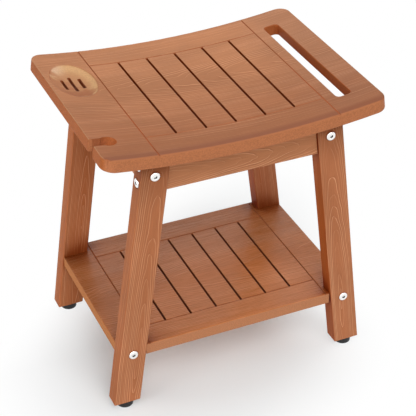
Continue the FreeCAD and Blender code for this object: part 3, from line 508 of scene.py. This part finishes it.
DRAIN_HALF_LONG = 21.0
DRAIN_HALF_SHORT = 13.5
DRAIN_RIM = 0.4, 1.2
FRONT_SHADE_FADE = 60.0, -140.0
GROOVE_FADE = 60.0, -90.0
RIGHT_FADE = 80.0, 200.0
FRONT_SHADE_BAND = 20.0, 9.0
ROUNDED_FRONT = 4.2, 2.0
NOTCH_END = -215.0, -185.0
HANDLE_SIDE = -100.0, 100.0
SLOT_END_SHARE = 0.85
RIM_HIGHLIGHT_WIDTH = 2.5
RIM_HIGHLIGHT_SHARE = 0.8
FIGURE_PATCH = 22.0, 14.0, 83.0
CORE_SPECK_PATCH = 3.0, 2.0, 91.0
SEAT_BOLDNESS = 0.75
SEAT_SEED = 57.0
SEAT_HEART_ASIDE = 25.0


def away_from(tree, aside, along):
    """How far a place is from another, from its two distances square to each other."""
    squares = [calc(tree, "POWER", distance, 2.0) for distance in (aside, along)]
    return calc(tree, "SQRT", calc(tree, "ADD", *squares))


# The panel as it was before it was bowed, with its grain, painted shade that darkens it towards the
# front, a tint towards the right and a painted shade band along the front edge
finish, tree, shader = new_finish("seat_board")
seat_top = (0.0, 0.0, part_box("seat_panel")[0].z + SEAT_THICKNESS * MILLIMETRE)
along, across, rise = split(tree, board_place(tree, seat_top, LENGTHWAYS, FRONT_TO_BACK))
bow = calc(tree, "DIVIDE", calc(tree, "POWER", along, 2.0), 2 * SEAT_BOW_RADIUS)
above = calc(tree, "SUBTRACT", rise, bow)
sunk = calc(tree, "MULTIPLY", above, -1.0)
place = add_node(tree, "CombineXYZ", [along, across, above]).outputs[0]
line, shade, fibre = rolled_grain(
    tree, place, seed=SEAT_SEED, heart_aside=SEAT_HEART_ASIDE, **PANEL_GRAIN
)
cloud = patches(tree, place, PANEL_CLOUD_PATCH, SEAT_SEED).outputs[0]
# Painted shade: the top darkens towards the front
tone = tint(tree, ramp(tree, across, *FRONT_SHADE_FADE), SEAT_TONE, FRONT_SHADE_TONE)
colour = grained(tree, tone, line, shade, fibre, cloud, SEAT_BOLDNESS)
colour = tint(tree, ramp(tree, along, *RIGHT_FADE), colour, RIGHT_TINT, "MULTIPLY")
from_front = calc(tree, "ADD", across, SEAT_HALF[1])
# Painted shade: a darker band along the front of the top
colour = tint(tree, ramp(tree, from_front, *FRONT_SHADE_BAND), colour, FRONT_SHADE_BAND_TONE)
colour = tint(tree, ramp(tree, from_front, *ROUNDED_FRONT), colour, SEAT_EDGE_TONE)

# Its edges, grooves and slots
up = face_tilt(tree)
over_seat = calc(tree, "ABSOLUTE", split(tree, face_normal(tree))[0])
groove_tone = tint(tree, ramp(tree, over_seat, 0.3, 0.5), FAINT_GROOVE_TONE, FRONT_GROOVE_TONE)
groove_tone = tint(tree, ramp(tree, across, *GROOVE_FADE), BACK_GROOVE_TONE, groove_tone)
seat_tones = SEAT_EDGE_TONE, SEAT_END_TONE, groove_tone, SEAT_SLOT_SHADE_TONE
colour, sawn, speck = routed(tree, colour, place, sunk, SEAT_FIELD, SEAT_HALF, *seat_tones)

# The milled dish, where the core shows most on the right and at the back, with painted shade on its
# near side and a painted highlight at the back on the left
from_dish = calc(tree, "SUBTRACT", along, DISH_MIDDLE[0])
behind_dish = calc(tree, "SUBTRACT", across, DISH_MIDDLE[1])
dish_along = calc(tree, "DIVIDE", from_dish, DISH_HALF[0])
dish_across = calc(tree, "DIVIDE", behind_dish, DISH_HALF[1])
oval = [calc(tree, "POWER", part, 2.0) for part in (dish_along, dish_across)]
oval = calc(tree, "ADD", *oval)
in_dish = product(tree, ramp(tree, oval, 0.85, 1.04, 1.0, 0.0), ramp(tree, up, 0.4, 0.6))
# Painted shade on the dish's near side
skin = tint(tree, ramp(tree, dish_across, 0.1, -0.7), SEAT_TONE, FRONT_SHADE_TONE)
colour = tint(tree, in_dish, colour, skin)
figure = patches(tree, place, FIGURE_PATCH, detail=2.0).outputs[0]
milled = calc(tree, "MULTIPLY", dish_along, 0.70)
milled = calc(tree, "ADD", milled, calc(tree, "MULTIPLY", dish_across, 0.65))
milled = calc(tree, "ADD", milled, ramp(tree, figure, 0.30, 0.70, -0.35, 0.35))
milled = product(tree, ramp(tree, milled, -0.50, 0.25), ramp(tree, oval, 0.20, 0.70, 0.35, 1.0))
# A painted highlight, paler, on the dish's far left side
pale = product(tree, ramp(tree, dish_across, 0.2, 0.8), ramp(tree, dish_along, 0.2, -0.5))
core = tint(tree, pale, CORE_TONE, DISH_HIGHLIGHT_TONE)
speckle = patches(tree, place, CORE_SPECK_PATCH, detail=2.0).outputs[0]
core = dim(tree, core, ramp(tree, speckle, 0.3, 0.7, 0.92, 1.08))
colour = tint(tree, product(tree, in_dish, milled), colour, core)

# The walls of the handle slot and the notch, and a painted highlight along the rounded top edges of
# the ends
inner = within_field(tree, along, across, (SEAT_HALF[0] - SEAT_MARGIN, SEAT_HALF[1] - SEAT_MARGIN))
in_field = within_field(tree, along, across, SEAT_FIELD)
wall = product(tree, inner, calc(tree, "SUBTRACT", 1.0, in_field), sawn)
wall_tone = tint(tree, ramp(tree, along, *NOTCH_END), NOTCH_TONE, WALL_TONE)
slot_end = product(tree, facing(tree, FRONT_TO_BACK), ramp(tree, along, *HANDLE_SIDE))
slot_end = ramp(tree, slot_end, 0.0, 1.0, 1.0, SLOT_END_SHARE)
colour = tint(tree, wall, colour, dim(tree, wall_tone, product(tree, speck, slot_end)))
# Painted highlight on the rounded top edges of the ends
on_end = calc(tree, "SUBTRACT", 1.0, within(tree, along, SEAT_HALF[0] - RIM_HIGHLIGHT_WIDTH))
worn = product(tree, on_end, ramp(tree, up, 0.55, 0.75), ramp(tree, up, 0.985, 0.93), RIM_HIGHLIGHT_SHARE)
colour = tint(tree, worn, colour, RIM_HIGHLIGHT_TONE)

# The dish's drain slots, their walls painted dark as shade, with a dark rim painted round each that
# makes them look wider
# Painted shade on the drain slots' walls
drain = product(tree, ramp(tree, oval, 0.5, 0.6, 1.0, 0.0), sawn)
colour = tint(tree, drain, colour, DRAIN_SHADE_TONE)
lean = -DISH_MIDDLE[0] / SEAT_BOW_RADIUS
from_middle = calc(tree, "MULTIPLY_ADD", sunk, lean, from_dish)
number = calc(tree, "ROUND", calc(tree, "DIVIDE", from_middle, DRAIN_PITCH))
number = calc(tree, "MAXIMUM", calc(tree, "MINIMUM", number, 1.0), -1.0)
beside = calc(tree, "SUBTRACT", from_middle, calc(tree, "MULTIPLY", number, DRAIN_PITCH))
half_lengths = DRAIN_HALF_LONG, DRAIN_HALF_SHORT
half_length = ramp(tree, calc(tree, "ABSOLUTE", number), 0.0, 1.0, *half_lengths)
beyond = calc(tree, "SUBTRACT", calc(tree, "ABSOLUTE", behind_dish), half_length)
off_drain = away_from(tree, beside, calc(tree, "MAXIMUM", beyond, 0.0))
rim_start, rim_end = (DRAIN_HALF_WIDTH + rim for rim in DRAIN_RIM)
dark_rim = ramp(tree, off_drain, rim_start, rim_end, 1.0, 0.0)
colour = tint(tree, product(tree, in_dish, dark_rim), colour, DRAIN_RIM_TONE)
tree.links.new(colour, shader.inputs["Base Color"])
press_grain(tree, shader, line, fibre, calc(tree, "MAXIMUM", sawn, in_dish))
dress("seat_panel", finish)

# Bolts: connector bolts of bright nickel-plated steel with wide, flat, bevelled heads and hex
# sockets. They go through the legs from outside and screw into the barrel nuts in the rails and
# the shelf.

BOLT_RADIUS = 3.0
BOLT_ROOT = 2.5
BOLT_PITCH = 1.0
BOLT_THREAD = 28.0
HEAD_RADIUS = 7.5
HEAD_HEIGHT = 2.6
HEAD_BEVEL = 1.2
SOCKET_HALF = 2.5
SOCKET_DEPTH = 2.0
NICKEL_TONE = (0.96, 0.945, 0.925)
NICKEL_WORN = (0.90, 0.885, 0.86)
NICKEL_ROUGHNESS = 0.16, 0.30
SOCKET_SHADE_TONE = (0.020, 0.018, 0.017)
SOCKET_SHADE_SPECKLED = tuple(2 * part for part in SOCKET_SHADE_TONE)
WEAR_SCALE = 420.0
SOCKET_SPECKLE_SCALE = 900.0
SIDES = 36
SHY = 0.02  # how far a turned piece stays inside its place
SHARP_EDGE = math.radians(32)


def metal_finish(name, tone, worn, roughness):
    """Plated metal with faint wear and a gloss that varies from place to place."""
    finish, tree, shader = new_finish(name)
    where = add_node(tree, "TexCoord").outputs["Object"]
    speckle = {"Vector": where, "Scale": WEAR_SCALE, "Detail": 3.0}
    wear = add_node(tree, "TexNoise", speckle).outputs[0]
    colour = tint(tree, ramp(tree, wear, 0.35, 0.7), tone, worn)
    tree.links.new(colour, shader.inputs["Base Color"])
    tree.links.new(ramp(tree, wear, 0.3, 0.7, *roughness), shader.inputs["Roughness"])
    shader.inputs["Metallic"].default_value = 1.0
    return finish


def hex_reach(half, angle):
    """How far a hexagon so many millimetres from middle to flat reaches at an angle."""
    sixth = math.radians(60)
    return half / math.cos((angle + sixth / 2) % sixth - sixth / 2)


def turn_rings(work, rings, closed=False):
    """Lathe work: rings of (radius, height), or (half across flats, height, "hex"), skinned."""
    loops = []
    for radius, height, *shape in rings:
        loop = []
        for step in range(SIDES):
            angle = math.tau * step / SIDES
            reach = hex_reach(radius, angle) if shape else radius
            loop.append(work.verts.new((reach * math.cos(angle), reach * math.sin(angle), height)))
        loops.append(loop)
    pairs = list(zip(loops, loops[1:]))
    if closed:
        pairs.append((loops[-1], loops[0]))
    faces = []
    for low, high in pairs:
        for step in range(SIDES):
            after = (step + 1) % SIDES
            faces.append(work.faces.new((low[step], low[after], high[after], high[step])))
    if not closed:
        work.faces.new(list(reversed(loops[0])))
        faces.append(work.faces.new(loops[-1]))
    return faces


def cut_thread(work, low, high, root, crest, pitch):
    """A screw thread between two heights: one helix of crests that runs out at both ends."""
    half_turns = round(2 * (high - low) / pitch) - 2
    rows = []
    for row in range(half_turns + 1):
        points = []
        for step in range(SIDES):
            height = low + (row / 2 + step / SIDES) * pitch
            runs_out = min(height - low, high - height) < pitch / 2
            radius = root if row % 2 == 0 or runs_out else crest
            angle = math.tau * step / SIDES
            point = radius * math.cos(angle), radius * math.sin(angle), min(height, high)
            points.append(work.verts.new(point))
        rows.append(points)
    for row in range(half_turns):
        low_row, high_row = rows[row], rows[row + 1]
        for step in range(SIDES - 1):
            after = step + 1
            work.faces.new((low_row[step], low_row[after], high_row[after], high_row[step]))
    for row in range(half_turns - 2):
        work.faces.new((rows[row][-1], rows[row + 2][0], rows[row + 3][0], rows[row + 1][-1]))


def solid_boxes(node):
    """The boxes of the separate solids that a node is a group of."""
    work = bmesh.new()
    work.from_mesh(frame["nodes"][node].data)
    bmesh.ops.remove_doubles(work, verts=work.verts, dist=1e-6)
    left = set(work.verts)
    boxes = []
    while left:
        found = [left.pop()]
        for vert in found:
            near = {edge.other_vert(vert) for edge in vert.link_edges} & left
            left -= near
            found.extend(near)
        places = [vert.co for vert in found]
        low = Vector(min(place[axis] for place in places) for axis in range(3))
        high = Vector(max(place[axis] for place in places) for axis in range(3))
        boxes.append((low, high))
    work.free()
    return boxes


def head_frames(node, axis, outward=None):
    """Where each solid's head ends, with Z pointing out of it along an axis.

    It points the way that outward says, +1 or -1, or else away from the bench's middle."""
    for low, high in solid_boxes(node):
        side = outward or math.copysign(1, (low + high)[axis])
        tip = (low + high) / 2
        tip[axis] = high[axis] if side > 0 else low[axis]
        direction = Vector((0, 0, 0))
        direction[axis] = side
        yield Matrix.Translation(tip) @ direction.to_track_quat("Z", "Y").to_matrix().to_4x4()


def piece_from(name, work, places, finishes, node):
    """One visible piece for a node, from a mesh in millimetres repeated at the places."""
    master = bpy.data.meshes.new(name)
    work.to_mesh(master)
    work.free()
    master.transform(Matrix.Scale(MILLIMETRE, 4))
    whole = bmesh.new()
    for place in places:
        copy = master.copy()
        copy.transform(place)
        whole.from_mesh(copy)
        bpy.data.meshes.remove(copy)
    bmesh.ops.recalc_face_normals(whole, faces=whole.faces)
    whole.to_mesh(master)
    whole.free()
    master.shade_smooth()
    master.set_sharp_from_angle(angle=SHARP_EDGE)
    for finish in finishes:
        master.materials.append(finish)
    piece = bpy.data.objects.new(name, master)
    bpy.context.scene.collection.objects.link(piece)
    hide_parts(node)
    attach(piece, frame["nodes"][node]["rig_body"])


def bolt_mesh(length):
    """A bolt that points down from the top of its head at the origin."""
    work = bmesh.new()
    seat, tip = -HEAD_HEIGHT, -HEAD_HEIGHT - length
    thread_end, shank = tip + BOLT_THREAD, BOLT_RADIUS - SHY
    flat = HEAD_RADIUS - HEAD_BEVEL
    rings = [
        (BOLT_ROOT - 0.8, tip + 0.05), (BOLT_ROOT, tip + 0.9), (BOLT_ROOT, thread_end),
        (shank, thread_end + 0.6), (shank, seat - 0.5), (BOLT_RADIUS + 0.2, seat),
        (HEAD_RADIUS - 0.15, seat), (HEAD_RADIUS, seat + 0.15),
        (HEAD_RADIUS, -HEAD_BEVEL - 0.15), (HEAD_RADIUS - 0.12, -HEAD_BEVEL + 0.08),
        (flat, -0.16), (flat - 0.6, -SHY), (SOCKET_HALF + 1.0, -SHY), (SOCKET_HALF + 0.5, -0.05),
        (SOCKET_HALF, -0.25, "hex"), (SOCKET_HALF, -SOCKET_DEPTH, "hex"),
    ]
    faces = turn_rings(work, rings)
    # The sockets' walls take the painted shade
    for wall in faces[-SIDES - 1:-1]:
        wall.material_index = 1
    cut_thread(work, tip + 0.6, thread_end, BOLT_ROOT, shank, BOLT_PITCH)
    return work


nickel = metal_finish("bright_nickel", NICKEL_TONE, NICKEL_WORN, NICKEL_ROUGHNESS)
# Painted shade: the sockets' walls near black, speckled, for the shade inside them
socket_shade, tree, shader = new_finish("socket_shade")
where = add_node(tree, "TexCoord").outputs["Object"]
socket_speckle = add_node(tree, "TexNoise", {"Vector": where, "Scale": SOCKET_SPECKLE_SCALE}).outputs[0]
tree.links.new(tint(tree, socket_speckle, SOCKET_SHADE_TONE, SOCKET_SHADE_SPECKLED), shader.inputs["Base Color"])
shader.inputs["Roughness"].default_value = 0.7
shader.inputs["Specular IOR Level"].default_value = 0.1
for node, axis in (("apron_bolts", 0), ("end_rail_bolts", 1), ("shelf_bolts", 1)):
    low, high = solid_boxes(node)[0]
    length = (high - low)[axis] / MILLIMETRE - HEAD_HEIGHT
    places = list(head_frames(node, axis))
    piece_from(node + "_turned", bolt_mesh(length), places, [nickel, socket_shade], node)

# Barrel nuts: short turned steel cylinders, drilled and tapped across, that sit in holes in the
# boards' hidden faces. A slot in the end that shows helps to turn the tapped hole to the bolt.

STEEL_TONE = (0.62, 0.61, 0.60)
STEEL_WORN = (0.52, 0.51, 0.49)
STEEL_ROUGHNESS = 0.28, 0.46

steel = metal_finish("turned_steel", STEEL_TONE, STEEL_WORN, STEEL_ROUGHNESS)
for node in ("apron_barrel_nuts", "end_rail_barrel_nuts", "shelf_barrel_nuts"):
    dress(node, steel)

# Seat screws: plated steel wood screws with round heads and hex sockets. They are driven up
# through the end rails into the seat, and their heads sit in holes in the rails' lower edges.

SCREW_RADIUS = 2.5
SCREW_ROOT = 1.75
SCREW_PITCH = 2.2
SCREW_HEAD_RADIUS = 4.75
SCREW_HEAD_HEIGHT = 3.5
SCREW_SOCKET_HALF = 1.5
SCREW_SOCKET_DEPTH = 2.0
SCREW_LENGTH = 60.0
SCREW_THREAD = 34.0
SCREW_POINT = 5.0

work = bmesh.new()
seat, tip = -SCREW_HEAD_HEIGHT, -SCREW_HEAD_HEIGHT - SCREW_LENGTH
thread_end, shank = tip + SCREW_THREAD, SCREW_RADIUS - 0.05
rings = [
    (0.05, tip + SHY), (SCREW_ROOT, tip + SCREW_POINT), (SCREW_ROOT, thread_end),
    (shank, thread_end + 1.0), (shank, seat), (SCREW_HEAD_RADIUS - 0.3, seat),
    (SCREW_HEAD_RADIUS - SHY, seat + 0.4), (SCREW_HEAD_RADIUS - 0.1, seat + 1.2),
    (SCREW_HEAD_RADIUS - 0.6, -0.9), (SCREW_HEAD_RADIUS - 1.5, -0.25),
    (SCREW_SOCKET_HALF + 0.9, -SHY), (SCREW_SOCKET_HALF + 0.25, -0.05),
    (SCREW_SOCKET_HALF, -0.25, "hex"), (SCREW_SOCKET_HALF, -SCREW_SOCKET_DEPTH, "hex"),
]
turn_rings(work, rings)
cut_thread(work, tip + SCREW_POINT, thread_end, SCREW_ROOT, shank, SCREW_PITCH)
places = list(head_frames("seat_screws", 2, -1))
piece_from("seat_screws_turned", work, places, [nickel], "seat_screws")

# Foot inserts: turned brass sleeves with a coarse thread outside. They are screwed into the
# legs' ends and tapped for the studs of the feet.

INSERT_RADIUS = 6.0
INSERT_ROOT = 5.2
INSERT_BORE = 4.05
INSERT_LENGTH = 18.0
INSERT_PITCH = 3.0
BRASS_TONE = (0.72, 0.50, 0.20)
BRASS_WORN = (0.60, 0.40, 0.15)
BRASS_ROUGHNESS = 0.25, 0.42

work = bmesh.new()
rings = [
    (INSERT_BORE, -0.7), (INSERT_BORE + 0.7, -SHY), (INSERT_ROOT - 0.2, -SHY), (INSERT_ROOT, -0.4),
    (INSERT_ROOT, 0.6 - INSERT_LENGTH), (INSERT_ROOT - 0.4, SHY - INSERT_LENGTH),
    (INSERT_BORE, SHY - INSERT_LENGTH),
]
turn_rings(work, rings, closed=True)
cut_thread(work, 0.4 - INSERT_LENGTH, -0.4, INSERT_ROOT, INSERT_RADIUS - SHY, INSERT_PITCH)
brass = metal_finish("turned_brass", BRASS_TONE, BRASS_WORN, BRASS_ROUGHNESS)
places = list(head_frames("foot_inserts", 2, -1))
piece_from("foot_inserts_turned", work, places, [brass], "foot_inserts")

# Levelling feet: black rubber pads moulded round the flat heads of threaded steel studs.
# The studs screw in and out of the inserts in the legs' ends.

PAD_RADIUS = 13.5
PAD_HEIGHT = 11.0
PAD_ROUND = 1.5
PAD_ROUND_STEPS = 6
PAD_NECK = 4.05
PAD_HOLLOW = 8.05
PAD_FLOOR = 3.95
PAD_ROOF = 7.05
PAD_SHY = 0.03
TREAD_RINGS = (3.5, 5.5, 7.5)
TREAD_DEPTH = 0.5
STUD_RADIUS = 4.0
STUD_ROOT = 3.4
STUD_PITCH = 1.25
STUD_HEAD_RADIUS = 8.0
STUD_HEAD_LOW = 4.0
STUD_HEAD_HIGH = 7.0
STUD_TIP = 41.0
RUBBER_TONE = (0.010, 0.010, 0.011)
RUBBER_WORN = (0.022, 0.021, 0.021)
RUBBER_ROUGHNESS = 0.42, 0.60
BLOOM_SCALE = 260.0


def pad_mesh():
    """A pad from the middle of its tread out, up its side and down to the stud's head."""
    work = bmesh.new()
    tread = [(0.3, SHY)]
    for ring in TREAD_RINGS:
        tread += [(ring - 0.5, SHY), (ring - 0.3, TREAD_DEPTH)]
        tread += [(ring + 0.3, TREAD_DEPTH), (ring + 0.5, SHY)]
    side = PAD_RADIUS - PAD_SHY
    corner = []
    for step in range(PAD_ROUND_STEPS + 1):
        angle = math.radians(90 * step / PAD_ROUND_STEPS)
        out = side - PAD_ROUND + PAD_ROUND * math.sin(angle)
        corner.append((out, SHY + PAD_ROUND * (1 - math.cos(angle))))
    rim = [
        (side, PAD_HEIGHT - 1.6), (PAD_RADIUS - 0.2, PAD_HEIGHT - 0.8),
        (PAD_RADIUS - 0.8, PAD_HEIGHT - 0.2),
    ]
    top = [
        (PAD_RADIUS - 1.6, PAD_HEIGHT - SHY), (PAD_NECK + 0.5, PAD_HEIGHT - SHY),
        (PAD_NECK, PAD_HEIGHT - 0.5),
    ]
    hollow = [
        (PAD_NECK, PAD_ROOF), (PAD_HOLLOW, PAD_ROOF), (PAD_HOLLOW, PAD_FLOOR), (0.3, PAD_FLOOR),
    ]
    turn_rings(work, tread + corner + rim + top + hollow)
    return work


def stud_mesh():
    """A stud that stands on its flat head, threaded from the head to the tip."""
    work = bmesh.new()
    high, tip = STUD_HEAD_HIGH - SHY, STUD_TIP - SHY
    rings = [
        (STUD_HEAD_RADIUS - 0.3, STUD_HEAD_LOW + SHY),
        (STUD_HEAD_RADIUS - SHY, STUD_HEAD_LOW + 0.3),
        (STUD_HEAD_RADIUS - SHY, high - 0.3), (STUD_HEAD_RADIUS - 0.3, high),
        (STUD_ROOT + 0.3, high), (STUD_ROOT, high + 0.3),
        (STUD_ROOT, tip - 0.9), (STUD_ROOT - 0.8, tip),
    ]
    turn_rings(work, rings)
    cut_thread(work, high + 0.2, tip - 0.6, STUD_ROOT, STUD_RADIUS - 0.03, STUD_PITCH)
    return work


rubber, tree, shader = new_finish("black_rubber")
where = add_node(tree, "TexCoord").outputs["Object"]
mottle = {"Vector": where, "Scale": BLOOM_SCALE, "Detail": 3.0}
bloom = add_node(tree, "TexNoise", mottle).outputs[0]
colour = tint(tree, ramp(tree, bloom, 0.4, 0.75), RUBBER_TONE, RUBBER_WORN)
tree.links.new(colour, shader.inputs["Base Color"])
tree.links.new(ramp(tree, bloom, 0.3, 0.7, *RUBBER_ROUGHNESS), shader.inputs["Roughness"])
shader.inputs["Specular IOR Level"].default_value = 0.35
for node in sorted(frame["nodes"]):
    low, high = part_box(node)
    on_floor = Matrix.Translation(((low.x + high.x) / 2, (low.y + high.y) / 2, 0.0))
    if node.startswith("foot_pad_"):
        piece_from(node + "_moulded", pad_mesh(), [on_floor], [rubber], node)
    elif node.startswith("foot_stud_"):
        piece_from(node + "_turned", stud_mesh(), [on_floor], [steel], node)

# Floor: the plain pale sweep of a studio, of painted board. It keeps the bench's shadow, which
# reaches furthest behind it, and fades to pure white away from it.

FLOOR_HALF = 6.0
FLOOR_TONE = (0.93, 0.980, 0.995, 1.0)
WHITE = (1.0, 1.0, 1.0, 1.0)
SHADOW_MIDDLE = Vector((-0.04, -0.10, 0.0))
SHADOW_REACH_LEFT = 0.36
SHADOW_REACH_RIGHT = 0.32
SHADOW_REACH_FRONT = 0.24
SHADOW_REACH_BACK = 0.54
SHADOW_DRIFT = 0.75


def seen_directly(tree):
    """1 for what is seen, also in a mirror or through glass, and 0 for what only spreads light."""
    path = add_node(tree, "LightPath").outputs
    seen = calc(tree, "MAXIMUM", path["Is Camera Ray"], path["Is Glossy Ray"])
    return calc(tree, "MAXIMUM", seen, path["Is Transmission Ray"])


def share_of_reach(tree, distance, ahead, back):
    """A distance as a share of one reach where it is above zero, and of another below it."""
    shares = calc(tree, "DIVIDE", distance, ahead), calc(tree, "DIVIDE", distance, -back)
    return calc(tree, "MAXIMUM", *shares)


mesh = bpy.data.meshes.new("floor")
corners = [(x * FLOOR_HALF, y * FLOOR_HALF, 0.0) for x, y in ((-1, -1), (1, -1), (1, 1), (-1, 1))]
mesh.from_pydata(corners, [], [(0, 1, 2, 3)])
floor = bpy.data.objects.new("floor", mesh)
bpy.context.scene.collection.objects.link(floor)
finish, tree, shader = new_finish("pale_floor")
shader.inputs["Base Color"].default_value = FLOOR_TONE
shader.inputs["Roughness"].default_value = 0.9
shader.inputs["Specular IOR Level"].default_value = 0.0
where = add_node(tree, "TexCoord").outputs["Object"]
aside, away = split(tree, vector_calc(tree, "SUBTRACT", where, SHADOW_MIDDLE))[:2]
behind = calc(tree, "MAXIMUM", calc(tree, "ADD", away, SHADOW_MIDDLE.y), 0.0)
aside = calc(tree, "SUBTRACT", aside, calc(tree, "MULTIPLY", behind, SHADOW_DRIFT))
aside = share_of_reach(tree, aside, SHADOW_REACH_RIGHT, SHADOW_REACH_LEFT)
away = share_of_reach(tree, away, SHADOW_REACH_BACK, SHADOW_REACH_FRONT)
unshaded = ramp(tree, away_from(tree, aside, away), 0.30, 1.05, 0.05, 1.0)
glow = add_node(tree, "Emission", {"Color": WHITE, "Strength": 1.0}).outputs[0]
white_share = product(tree, unshaded, seen_directly(tree))
both = add_node(tree, "MixShader", [white_share, shader.outputs[0], glow])
tree.links.new(both.outputs[0], tree.nodes["Material Output"].inputs["Surface"])
mesh.materials.append(finish)

# Light: broad soft boxes in front and at both sides, and two panels near the seat, one behind it
# and one on its left. They hang in a white room that only shows in the background and in
# reflections.

LAMPS = {
    # name: (turn from the front and height in degrees, strength)
    "front_box": (0, 40, 1.91),
    "front_left_box": (-45, 40, 0.49),
    "left_box": (-90, 15, 0.64),
    "right_box": (90, 40, 0.30),
    "high_right_box": (90, 65, 0.43),
}
LAMP_SPREAD = math.radians(50)
PANELS = {
    # name: (place, aim, width, depth, watts)
    "back_panel": ((0.05, 0.45, 1.00), (0.0, 0.15, 0.45), 0.9, 0.5, 2.0),
    "left_panel": ((-0.90, -0.20, 0.50), (0.0, 0.0, 0.30), 0.6, 0.6, 1.2),
}


def direction_to(turn, height):
    """The way to a thing at a turn from the front and a height above the floor, both in radians."""
    level = math.cos(height)
    return Vector((math.sin(turn) * level, -math.cos(turn) * level, math.sin(height)))


def hang(name, lamp, place, toward):
    holder = bpy.data.objects.new(name, lamp)
    bpy.context.scene.collection.objects.link(holder)
    holder.location = place
    holder.rotation_euler = Vector(toward).to_track_quat("-Z", "Y").to_euler()


world = bpy.data.worlds.new("studio")
bpy.context.scene.world = world
world.use_nodes = True
tree = world.node_tree
background = tree.nodes["Background"]
tree.links.new(seen_directly(tree), background.inputs["Strength"])
background.inputs["Color"].default_value = WHITE
for name, (turn, height, strength) in LAMPS.items():
    lamp = bpy.data.lights.new(name, "SUN")
    lamp.energy = strength
    lamp.angle = LAMP_SPREAD
    source = direction_to(math.radians(turn), math.radians(height))
    hang(name, lamp, source, -source)
for name, (place, aim, width, depth, watts) in PANELS.items():
    lamp = bpy.data.lights.new(name, "AREA")
    lamp.energy = watts
    lamp.shape = "RECTANGLE"
    lamp.size = width
    lamp.size_y = depth
    hang(name, lamp, place, Vector(aim) - Vector(place))

# Camera: a long lens to the left of the front, looking down on the seat.
# It stands two metres off and leans by a quarter of a degree.

CAMERA_TARGET = Vector((-0.04594, -0.12109, 0.32432))
CAMERA_TURN = math.radians(-24.117)
CAMERA_HEIGHT = math.radians(33.874)
CAMERA_ROLL = math.radians(0.256)
CAMERA_AWAY = 2.0031
LENS = 114.1
SENSOR = 36.0

back = direction_to(CAMERA_TURN, CAMERA_HEIGHT)
level_right = Vector(UPWARDS).cross(back).normalized()
level_up = back.cross(level_right)
right = math.cos(CAMERA_ROLL) * level_right + math.sin(CAMERA_ROLL) * level_up
up = -math.sin(CAMERA_ROLL) * level_right + math.cos(CAMERA_ROLL) * level_up
lens = bpy.data.cameras.new("camera")
lens.lens = LENS
lens.sensor_width = SENSOR
camera = bpy.data.objects.new("camera", lens)
bpy.context.scene.collection.objects.link(camera)
turned = Matrix((right, up, back)).transposed().to_4x4()
camera.matrix_world = Matrix.Translation(CAMERA_TARGET + back * CAMERA_AWAY) @ turned
bpy.context.scene.camera = camera
bpy.context.scene.view_settings.view_transform = "Standard"
